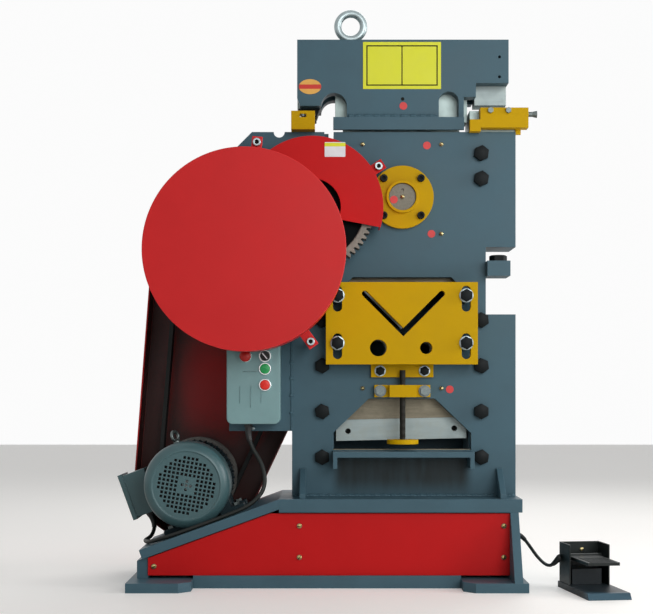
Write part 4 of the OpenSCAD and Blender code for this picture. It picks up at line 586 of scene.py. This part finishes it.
def finishPiece(name, whole, coats, body, slot, *replaced):
    mesh = bpy.data.meshes.new(name)
    whole.to_mesh(mesh)
    whole.free()
    for coat in coats:
        mesh.materials.append(finishes[coat])
    mesh.shade_smooth()
    mesh.set_sharp_from_angle(angle=sharpAngle)
    settle(bpy.data.objects.new(name, mesh), body, slot, *replaced)


# one turned part on its own
def turnedPiece(name, piece, body, slot, *replaced):
    whole = bmesh.new()
    addPart(whole, turnedPart(piece["profile"], piece["steps"]), piece["place"],
            turn=piece.get("turn", facing["front"]))
    finishPiece(name, whole, [piece["coat"]], body, slot, *replaced)


# frame, plate, bracket and cap bolts in black oxide: hexagon heads, nuts and sockets
# in place of the plain CAD ones; washers and the guards' cap screws are zinc
frameBolt = {"flats": 37.2, "head": 17, "nut": 15, "left": -5, "right": 427, "rows": (341, 465, 589, 713),
             "topRows": (1097, 1166), "back": 144, "end": 157,
             "tip": [(0, 4), (10, 4), (12, 2), (12, 0), (0, 0)]}
plateBolt = {"flats": 30, "head": 13, "spots": [(36, 649), (36, 776), (380, 649), (380, 776)], "face": -73,
             "shank": [(0, 73), (9.5, 73), (9.5, 0), (0, 0)], "washerFace": -70.2,
             "washer": [(10, 3), (18, 3), (19, 2.4), (19, 0.4), (18.4, 0), (9.5, 0), (9.5, 3)]}
strapBolt = {"flats": 22.5, "head": 9, "spots": [(152, 575), (272, 575)], "face": -17, "washerFace": -14,
             "washer": [(6, 3), (14.4, 3), (15.2, 2.4), (15.2, 0), (6, 0), (6, 3)]}
flangeCap = {"radius": 10, "height": 12, "socket": 5.6, "face": -18,
             "spots": [(262.2, 1096.2), (161.8, 1096.2), (161.8, 995.8), (262.2, 995.8)]}
guardCap = {"radius": 10.6, "height": 12, "socket": 6.2,
            "spots": [(-176.7, -120, 1176.2), (-35.1, -120, 651.4), (146.9, -40, 1125.1)]}
stopBolt = {"flats": 42.4, "head": 20, "spot": (477.2, 32, 872)}
spannerSwing = 0.14  # radians to either side


# each head stops at its own turn of the spanner, near points up
def spannerTurn(x, z):
    return math.pi / 6 + spannerSwing * math.sin(x + 3 * z)


whole = bmesh.new()
for x in (frameBolt["left"], frameBolt["right"]):
    for z in frameBolt["rows"]:
        turn = spannerTurn(x, z)
        addPart(whole, hexHead(frameBolt["flats"], frameBolt["head"]), (x, 0, z), 0, turn)
        nut = hexHead(frameBolt["flats"], frameBolt["nut"])
        addPart(whole, nut, (x, frameBolt["back"], z), 0, turn, facing["back"])
        addPart(whole, turnedPart(frameBolt["tip"]), (x, frameBolt["end"], z), turn=facing["back"])
for z in frameBolt["topRows"]:
    head = hexHead(frameBolt["flats"], frameBolt["head"])
    addPart(whole, head, (frameBolt["right"], 0, z), 0, spannerTurn(0, z))
for x, z in plateBolt["spots"]:
    head = hexHead(plateBolt["flats"], plateBolt["head"])
    addPart(whole, head, (x, plateBolt["face"], z), 0, spannerTurn(x, z))
    addPart(whole, turnedPart(plateBolt["shank"]), (x, 0, z))
    addPart(whole, turnedPart(plateBolt["washer"]), (x, plateBolt["washerFace"], z), 1)
for x, z in strapBolt["spots"]:
    head = hexHead(strapBolt["flats"], strapBolt["head"])
    addPart(whole, head, (x, strapBolt["face"], z), 0, spannerTurn(x, z))
    addPart(whole, turnedPart(strapBolt["washer"]), (x, strapBolt["washerFace"], z), 1)
for x, z in flangeCap["spots"]:
    cap = capHead(flangeCap["radius"], flangeCap["height"], flangeCap["socket"])
    addPart(whole, cap, (x, flangeCap["face"], z))
for spot in guardCap["spots"]:
    cap = capHead(guardCap["radius"], guardCap["height"], guardCap["socket"])
    addPart(whole, cap, spot, 1)
addPart(whole, hexHead(stopBolt["flats"], stopBolt["head"]), stopBolt["spot"], turn=facing["up"])
finishPiece("blackBolts", whole, ["blackOxide", "brightZinc", "blackPrintAndShade"], "machine", "black_oxide",
            "black_bolts")

# screws sunk in the holes of the shear blade
bladeScrews = {"spots": [(66, 411.2), (358, 419.1)], "seat": 66, "radius": 7, "height": 10, "socket": 3.6}
whole = bmesh.new()
for x, z in bladeScrews["spots"]:
    head = capHead(bladeScrews["radius"], bladeScrews["height"], bladeScrews["socket"])
    addPart(whole, head, (x, bladeScrews["seat"], z))
finishPiece("bladeScrews", whole, ["blackOxide", "blackOxide", "blackPrintAndShade"], "ram", "black_oxide")

# panel screws: domed heads in yellow zinc over the flat CAD heads, each with a black bar on its dome as the
# painted shade of a straight slot
panelScrews = {"head": [(0, 6.2), (3.15, 5.8), (5.6, 4.6), (7, 2.4), (7, 0), (0, 0)], "steps": 24,
               "slotShade": (11.9, 1.8, 1.2), "slotShadeLift": 5.7, "faces": [("front", -105), ("back", 220)],
               "spots": [(-450, 57), (-65, 81), (-65, 164), (476, 81), (476, 164)],
               "turns": (0.4, 0.9, 0.2, 1.3, 0.7)}
whole = bmesh.new()
for (x, z), turn in zip(panelScrews["spots"], panelScrews["turns"]):
    for way, y in panelScrews["faces"]:
        addPart(whole, turnedPart(panelScrews["head"], panelScrews["steps"]), (x, y, z), turn=facing[way])
        slotShade = milledBlock(panelScrews["slotShade"])
        bmesh.ops.translate(slotShade, vec=(0, 0, metres(panelScrews["slotShadeLift"])), verts=slotShade.verts[:])
        addPart(whole, slotShade, (x, y, z), 1, turn, facing[way])
finishPiece("panelScrewHeads", whole, ["yellowZinc", "blackPrintAndShade"], "machine", "zinc_plate")

# grease nipples: hexagon foot, neck and ball; one turns with the eccentric shaft
nipple = {"profile": [(0, 13), (1.6, 12.8), (3.0, 11.6), (3.4, 10), (2.9, 8.4), (2.5, 7.4), (4.6, 5.6),
                      (5.0, 4), (0, 4)],
          "steps": 20, "flats": 10.4, "foot": 4.6, "shaftSpots": [(212, -22, 1046)],
          "frameSpots": [(105, 0, 1191), (105, 0, 528), (319, 0, 1191), (319, 0, 528), (319, 0, 948)]}


def addNipples(spots):
    whole = bmesh.new()
    for spot in spots:
        addPart(whole, turnedPart(nipple["profile"], nipple["steps"]), spot)
        addPart(whole, hexHead(nipple["flats"], nipple["foot"]), spot)
    return whole


frameNipples = addNipples(nipple["frameSpots"])
finishPiece("frameNipples", frameNipples, ["freeCutBrass"], "machine", "bearing_bronze", "grease_nipples")
shaftNipple = addNipples(nipple["shaftSpots"])
finishPiece("shaftNipple", shaftNipple, ["freeCutBrass"], "eccentric", "bearing_bronze")

# push buttons, mushroom button and their turned bezels
keySteps = 36
bezel = {"profile": [(13.5, 0), (13.5, 5.7), (13.8, 6), (15.6, 6), (16.0, 5.6), (16.0, 0), (13.5, 0)],
         "face": -85, "spots": [(-157, 537), (-157, 580), (-157, 614), (-209, 614)]}
button = [(0, 22), (8, 21.7), (11.8, 21), (13.1, 19.6), (13.1, 16), (9.5, 16), (9.5, 0), (0, 0)]
mushroom = [(0, 35), (6, 34.6), (10.8, 33.4), (14, 31), (15.5, 27.4), (15.3, 23), (13.6, 21), (9.5, 21),
            (9.5, 0), (0, 0)]
stopKey = {"profile": button, "place": (-157, -74, 537), "coat": "redAcetal"}
startKey = {"profile": button, "place": (-157, -74, 580), "coat": "greenAcetal"}
mushroomKey = {"profile": mushroom, "place": (-209, -75, 614), "coat": "shadedMushroomAcetal"}
whole = bmesh.new()
for x, z in bezel["spots"]:
    addPart(whole, turnedPart(bezel["profile"], keySteps), (x, bezel["face"], z))
finishPiece("keyBezels", whole, ["brightNickel"], "machine", "zinc_plate", "button_bezels")
for name, key, body, slot in (("stopKey", stopKey, "red_button", "red_plastic"),
                              ("startKey", startKey, "green_button", "green_plastic"),
                              ("mushroomKey", mushroomKey, "estop_button", "red_plastic")):
    turnedPiece(name, {**key, "steps": keySteps}, body, slot, body)
print("bolts, screws, nipples and keys made")

# stuck-on plates and dots, left bare: a thin sheet with round corners, a frame line, a divider or one band;
# frame is its margin and its line's width, a band is its axis and its two sides
labelShape = {"ovalSteps": 40, "cornerSteps": 3, "topNormal": 0.9}


def stickLabel(name, label, body, slot):
    width, height = (metres(size) for size in label["size"])
    margin, line = (metres(size) for size in label.get("frame", (0, 0)))
    whole = bmesh.new()
    if label["outline"] == "oval":
        bmesh.ops.create_circle(whole, cap_ends=True, radius=0.5, segments=labelShape["ovalSteps"])
    else:
        bmesh.ops.create_grid(whole, x_segments=1, y_segments=1, size=0.5)
    bmesh.ops.scale(whole, vec=(width, height, 1), verts=whole.verts[:])
    if label.get("corner"):
        bmesh.ops.bevel(whole, geom=whole.verts[:], offset=metres(label["corner"]), offset_type="OFFSET",
                        affect="VERTICES", segments=labelShape["cornerSteps"], profile=0.5, material=-1)
    bmesh.ops.recalc_face_normals(whole, faces=whole.faces[:])
    for face in whole.faces:
        if face.normal.z < 0:
            face.normal_flip()
    top = whole.faces[:]
    skirt = bmesh.ops.extrude_edge_only(whole, edges=[e for e in whole.edges if e.is_boundary])["geom"]
    bmesh.ops.translate(whole, vec=(0, 0, -metres(label["thick"])), verts=vertsOf(skirt))
    if line:
        bmesh.ops.inset_region(whole, faces=top, thickness=margin, use_even_offset=True)
        for face in bmesh.ops.inset_region(whole, faces=top, thickness=line, use_even_offset=True)["faces"]:
            face.material_index = 1
    for axis, low, high in label.get("bands", []):
        way = Vector((1, 0, 0)) if axis == "x" else Vector((0, 1, 0))
        for side in (low, high):
            inner = [f for f in whole.faces
                     if f.normal.z > labelShape["topNormal"] and f.material_index == 0]
            rims = list(dict.fromkeys(e for f in inner for e in f.edges))
            corners = list(dict.fromkeys(v for f in inner for v in f.verts))
            bmesh.ops.bisect_plane(whole, geom=inner + rims + corners, dist=weldGap,
                                   plane_co=metres(way * side), plane_no=way)
        for face in whole.faces:
            middle = face.calc_center_median()
            inFrame = abs(middle.x) < width / 2 - margin and abs(middle.y) < height / 2 - margin
            inBand = metres(low) < middle.dot(way) < metres(high)
            if face.normal.z > labelShape["topNormal"] and inFrame and inBand:
                face.material_index = 1
    roll = Matrix.Rotation(math.radians(label.get("roll", 0)), 4, "Z")
    stand = Matrix.Translation(at(*label["place"])) @ facing["front"] @ roll
    bmesh.ops.transform(whole, matrix=stand, verts=whole.verts[:])
    finishPiece(name, whole, label["coats"], body, slot)


headPlate = {"outline": "plate", "size": (212, 128), "thick": 0.8, "frame": (9, 3.4),
             "bands": [("x", -1.5, 1.5)], "place": (212, -1.8, 1405.5), "coats": ["yellowVinyl", "blackPrintAndShade"]}
headOval = {"outline": "oval", "size": (61, 41), "thick": 0.8, "bands": [("y", -6, 6)],
            "place": (-38, -1.8, 1348), "coats": ["goldVinyl", "bandVinyl"]}
guardPlate = {"outline": "plate", "size": (55, 39), "corner": 2, "thick": 0.8, "bands": [("y", 8, 17.5)],
              "place": (29, -112.8, 1159), "coats": ["whiteVinyl", "yellowVinyl"]}
# the head's oil hole is a flat black disc, painted shade of the hole
oilHoleShade = {"outline": "oval", "size": (9.6, 9.6), "thick": 0.3, "place": (213.7, -1.4, 1314.6),
           "coats": ["blackPrintAndShade"]}
oilMark = {"outline": "oval", "size": (21, 21), "thick": 0.6, "coats": ["redVinyl"]}
oilMarkSpots = [("oilMarkHead", (215.5, -1.6, 1295.5), "ram"),
                ("oilMarkTop", (279.8, -0.6, 1188.3), "machine"),
                ("oilMarkMid", (292, -0.6, 948), "machine"), ("oilMarkLow", (342, -0.6, 525), "machine"),
                ("oilMarkShaft", (189, -22.6, 1038.3), "eccentric")]
stickLabel("headPlate", headPlate, "ram", "yellow_paint")
stickLabel("headOval", headOval, "ram", "yellow_paint")
stickLabel("guardPlate", guardPlate, "machine", "zinc_plate")
stickLabel("headOilHoleShade", oilHoleShade, "ram", "black_oxide")
for name, place, body in oilMarkSpots:
    stickLabel(name, {**oilMark, "place": place}, body, "red_paint")

# white pointer line on the selector's bar
selectorLine = {"outline": "plate", "size": (2.8, 21), "corner": 0.6, "thick": 0.4, "roll": 40,
                "place": (-157, -113.4, 614), "coats": ["whiteVinyl"]}
stickLabel("selectorLine", selectorLine, "selector", "zinc_plate")

# raised lines moulded in the control cover
coverRibs = {"radius": 1.3, "face": -85,
             "runs": [((-223.6, 534), (-223.6, 488)), ((-195, 534), (-195, 478)), ((-167, 520), (-167, 490)),
                      ((-216, 572), (-178, 572))]}
ribLine = startCurve("coverRibs", metres(coverRibs["radius"]), "boxPowderCoat")
for (x0, z0), (x1, z1) in coverRibs["runs"]:
    addSpline(ribLine, [at(x0, coverRibs["face"], z0), at(x1, coverRibs["face"], z1)])
settle(bpy.data.objects.new("coverRibs", ribLine), "machine", "box_paint")

# weld beads under the paint: rippled lines, each from one end to the other with its radius;
# the tacks are short ones across the frame's left edge
beads = {"pitch": 2.4, "sway": 1.1, "quick": 1.7, "slow": 0.61, "ripple": 0.12, "swell": 0.18, "end": 0.55,
         "tackX": (-94, -81), "tackY": -1.5, "tackRadius": 3.4, "tackRows": (596.8, 554.4, 507.6, 460.3),
         "head": [((66, -3, 1266), (309, -3, 1266), 5.8)],
         "frame": [((-84, -1, 236), (518, -1, 236), 4.6), ((-88, -1, 414), (-88, -1, 690), 2.6)]}
tacks = [(*((x, beads["tackY"], z) for x in beads["tackX"]), beads["tackRadius"]) for z in beads["tackRows"]]
for body, runs in (("ram", beads["head"]), ("machine", beads["frame"] + tacks)):
    bead = startCurve(body + "WeldBeads", metres(1), "machineEnamel")
    for start, end, radius in runs:
        a = at(*start)
        b = at(*end)
        count = max(4, round((b - a).length * 1000 / beads["pitch"]))
        path = []
        radii = []
        for k in range(count + 1):
            wave = math.sin(k * beads["quick"]) * 0.5 + math.sin(k * beads["slow"] + 1) * 0.5
            full = radius * (1 + beads["ripple"] * (k % 2) + beads["swell"] * wave)
            path.append(a.lerp(b, k / count) + Vector((0, 0, wave * metres(beads["sway"]))))
            radii.append(full * (beads["end"] if k in (0, count) else 1))
        addSpline(bead, path, radii)
    settle(bpy.data.objects.new(body + "WeldBeads", bead), body, "machine_paint")
print("plates, marks and weld beads made")

# strain reliefs: ribbed tapered sleeves along both ends of each lead, each with a tail into its gland,
# and the gland nuts that hold them
sleeves = {"reach": 30, "step": 1.5, "root": 4.6, "tip": 0.9, "rib": 0.5, "ribEvery": 3,
           "ends": [(motorLead, "start", (0, 0, 16)), (motorLead, "end", (-5.47, 0, 15.04)),
                    (pedalLead, "start", (-14, 0, 0)), (pedalLead, "end", (3, -0.4, 1))]}
motorLean = math.radians(20)
glandNuts = {"flats": 19, "height": 9,
             "spots": [((-203, -50, 433), facing["down"]), ((514, 60, 125), facing["right"]),
                       ((-488.45, 131, 181.4), Matrix.Rotation(math.pi - motorLean, 4, "Y"))]}
sleeve = startCurve("leadSleeves", metres(1), "blackNylon")
step = metres(sleeves["step"])
for lead, end, tail in sleeves["ends"]:
    path = lead["path"] if end == "start" else lead["path"][::-1]
    line = [path[0] + Vector(tail) / 1000] + path
    points = [line[0]]
    gone = 0.0
    used = 0.0
    i = 0
    while gone < metres(sleeves["reach"] + Vector(tail).length) and i < len(line) - 1:
        span = (line[i + 1] - line[i]).length
        if used + step > span:
            used -= span
            i += 1
            continue
        used += step
        gone += step
        points.append(line[i].lerp(line[i + 1], max(used, 0.0) / span))
    last = len(points) - 1
    root = lead["diameter"] / 2 * 1000 + sleeves["root"]
    radii = [root + (sleeves["tip"] - sleeves["root"]) * k / last for k in range(last + 1)]
    radii = [r if k % sleeves["ribEvery"] else r + sleeves["rib"] for k, r in enumerate(radii)]
    addSpline(sleeve, points, radii)
settle(bpy.data.objects.new("leadSleeves", sleeve), "machine", "black_plastic", "cable_glands")
whole = bmesh.new()
for spot, turn in glandNuts["spots"]:
    addPart(whole, hexHead(glandNuts["flats"], glandNuts["height"]), spot, turn=turn)
finishPiece("glandNuts", whole, ["blackNylon"], "machine", "black_plastic")

# pedal, which stands a little turned: ribs on the treadle and the switch's screw on the hood's back wall
pedal = {"centre": (696, -199), "turn": math.radians(8)}
pedalTurn = Matrix.Rotation(pedal["turn"], 4, "Z")
treadleRibs = {"count": 8, "first": -72, "gap": 13, "height": 88.6, "size": (70, 3.4, 1.6), "round": 0.5}


def onPedal(x, y, z):
    cos = math.cos(pedal["turn"])
    sin = math.sin(pedal["turn"])
    return (pedal["centre"][0] + x * cos - y * sin, pedal["centre"][1] + x * sin + y * cos, z)


whole = bmesh.new()
for k in range(treadleRibs["count"]):
    rib = milledBlock(treadleRibs["size"])
    bmesh.ops.bevel(rib, geom=rib.edges[:], offset=metres(treadleRibs["round"]), affect="EDGES", segments=2,
                    profile=0.5, material=-1)
    place = onPedal(0, treadleRibs["first"] + k * treadleRibs["gap"], treadleRibs["height"])
    addPart(whole, rib, place, turn=pedalTurn)
finishPiece("treadleRibs", whole, ["blackEnamel"], "treadle", "black_paint")
switchScrew = {"profile": [(0, 4), (3.1, 3.6), (5.2, 2), (5.2, 0), (0, 0)], "steps": 20,
               "place": onPedal(6, 117, 100), "turn": pedalTurn @ facing["front"], "coat": "freeCutBrass"}
turnedPiece("switchScrew", switchScrew, "machine", "bearing_bronze")

# motor cowl in place of the plain CAD one: pressed sheet, a flat face punched with square holes
# set a little back from its rounded shoulder; blank and reach count holes from the middle
cowl = {"centre": (-367.6, -78, 269), "face": 90, "pitch": 11.2, "hole": 7.2, "rows": 7, "reach": 6.8,
        "blank": 2, "cross": [(0, 0), (1, 0), (-1, 0), (0, 1), (0, -1)], "roll": -10, "wall": 2, "steps": 64,
        "shoulder": [(90, 0), (90.6, 1.8), (92.2, 2.8), (94.6, 2.4), (98.9, 0.2), (104.9, -4.7),
                     (109.9, -9.3), (113.5, -15), (115.5, -21), (116, -27), (116, -103), (114, -103),
                     (114, -27), (110, -14), (103, -6), (90, -2)]}
sheet = bmesh.new()
bmesh.ops.create_circle(sheet, cap_ends=False, radius=metres(cowl["face"]), segments=cowl["steps"])
ranks = [k + 0.5 for k in range(-cowl["rows"], cowl["rows"])]
punched = [(i, k) for i in ranks for k in ranks
           if math.hypot(i, k) < cowl["reach"] and max(abs(i), abs(k)) > cowl["blank"]]
holeCorner = metres(cowl["hole"] / 1.414)  # from a square hole's middle to its corner
for i, k in punched + cowl["cross"]:
    middle = Matrix.Translation((metres(i * cowl["pitch"]), metres(k * cowl["pitch"]), 0))
    square = middle @ Matrix.Rotation(math.pi / 4, 4, "Z")
    bmesh.ops.create_circle(sheet, cap_ends=False, radius=holeCorner, segments=4, matrix=square)
holeEdges = [e for e in sheet.edges if e.verts[0].co.length < metres(cowl["face"] - 1)]
bmesh.ops.triangle_fill(sheet, use_beauty=True, edges=sheet.edges[:], normal=(0, 0, 1))
deep = bmesh.ops.extrude_edge_only(sheet, edges=holeEdges)["geom"]
bmesh.ops.translate(sheet, vec=(0, 0, -metres(cowl["wall"])), verts=vertsOf(deep))
bmesh.ops.recalc_face_normals(sheet, faces=sheet.faces[:])
whole = bmesh.new()
addPart(whole, sheet, cowl["centre"], 0, math.radians(cowl["roll"]))
addPart(whole, turnedPart(cowl["shoulder"], cowl["steps"]), cowl["centre"])
finishPiece("motorCowl", whole, ["motorEnamel"], "machine", "motor_paint", "motor_cowl")

# clamp screw in the slot of the punch gauge
gaugeScrew = {"profile": [(0, 5), (2.2, 4.8), (3.4, 4), (3.4, 0), (0, 0)], "steps": 20,
              "place": (-56.5, -40, 1262.5), "coat": "zincPlate"}
turnedPiece("gaugeScrew", gaugeScrew, "machine", "zinc_plate")

# screw in the plate below the control box
boxScrew = {"profile": [(0, 4), (3, 3.7), (5, 2), (5, 0), (0, 0)], "steps": 20, "place": (-193, 0, 419),
            "coat": "brightZinc"}
turnedPiece("boxScrew", boxScrew, "machine", "zinc_plate")
print("sleeves, pedal, cowl and last screws made")

# plain pale studio floor, white backdrop and soft lamps; the floor's reach is in metres, its mottle in
# millimetres; a lamp's row is its name, its place and its aim in metres, its size and its power
white = (1, 1, 1, 1)
studio = {"floorReach": 9, "floorTones": ("#e4e2de", "#eceae6"), "mottle": 400, "floorRough": 0.6,
          "floorGlow": 0.22, "sky": 0.26, "backdrop": 0.97,
          "lamps": [("keyLamp", (1.5, -4.0, 1.8), (0.1, 0, 0.5), 2.4, 90),
                    ("fillLamp", (3.2, -0.5, 1.3), (0, 0, 0.6), 1.6, 60),
                    ("rimLamp", (0.6, 2.4, 2.8), (0, 0, 0.9), 2.0, 40)]}
sheet = bmesh.new()
bmesh.ops.create_grid(sheet, x_segments=1, y_segments=1, size=studio["floorReach"])
floorMesh = bpy.data.meshes.new("studioFloor")
sheet.to_mesh(floorMesh)
sheet.free()
floor = bpy.data.objects.new("studioFloor", floorMesh)
scene.collection.objects.link(floor)
floorMat, tree, shader, place = startMaterial("paleFloorPaint")
mottle = addNode(tree, "TexNoise", {"Scale": perMetre(studio["mottle"]), "Detail": 3.0}, {"Vector": place})
floorTone = addNode(tree, "ValToRGB", links={"Fac": mottle["Fac"]},
                    stops=list(enumerate(hexLinear(tone) for tone in studio["floorTones"])))
eye = addNode(tree, "LightPath")
glow = addNode(tree, "Math", {1: studio["floorGlow"]}, {0: eye["Is Camera Ray"]}, operation="MULTIPLY")
wire(tree, shader, {"Roughness": studio["floorRough"], "Emission Color": white},
     {"Base Color": floorTone["Color"], "Emission Strength": glow[0]})
floorMesh.materials.append(floorMat)

world = bpy.data.worlds.new("studioSky")
world.use_nodes = True
scene.world = world
tree = world.node_tree
sky = tree.nodes["Background"]
wire(tree, sky, {"Color": white, "Strength": studio["sky"]}, {})
seen = addNode(tree, "LightPath")
mirrored = addNode(tree, "Math", links={0: seen["Is Camera Ray"], 1: seen["Is Glossy Ray"]},
                   operation="MAXIMUM")
shown = addNode(tree, "Math", links={0: mirrored[0], 1: seen["Is Transmission Ray"]}, operation="MAXIMUM")
backdrop = addNode(tree, "Background", {"Color": white, "Strength": studio["backdrop"]})
choose = addNode(tree, "MixShader", links={0: shown[0], 1: sky.outputs[0], 2: backdrop[0]})
wire(tree, tree.nodes["World Output"], {}, {"Surface": choose[0]})


def hangLamp(name, place, aim, size, power):
    lamp = bpy.data.lights.new(name, "AREA")
    lamp.energy = power
    lamp.size = size
    obj = bpy.data.objects.new(name, lamp)
    obj.location = place
    obj.rotation_euler = (Vector(aim) - Vector(place)).to_track_quat("-Z", "Y").to_euler()
    scene.collection.objects.link(obj)


for lampRow in studio["lamps"]:
    hangLamp(*lampRow)
print("floor, world and lamps in place")
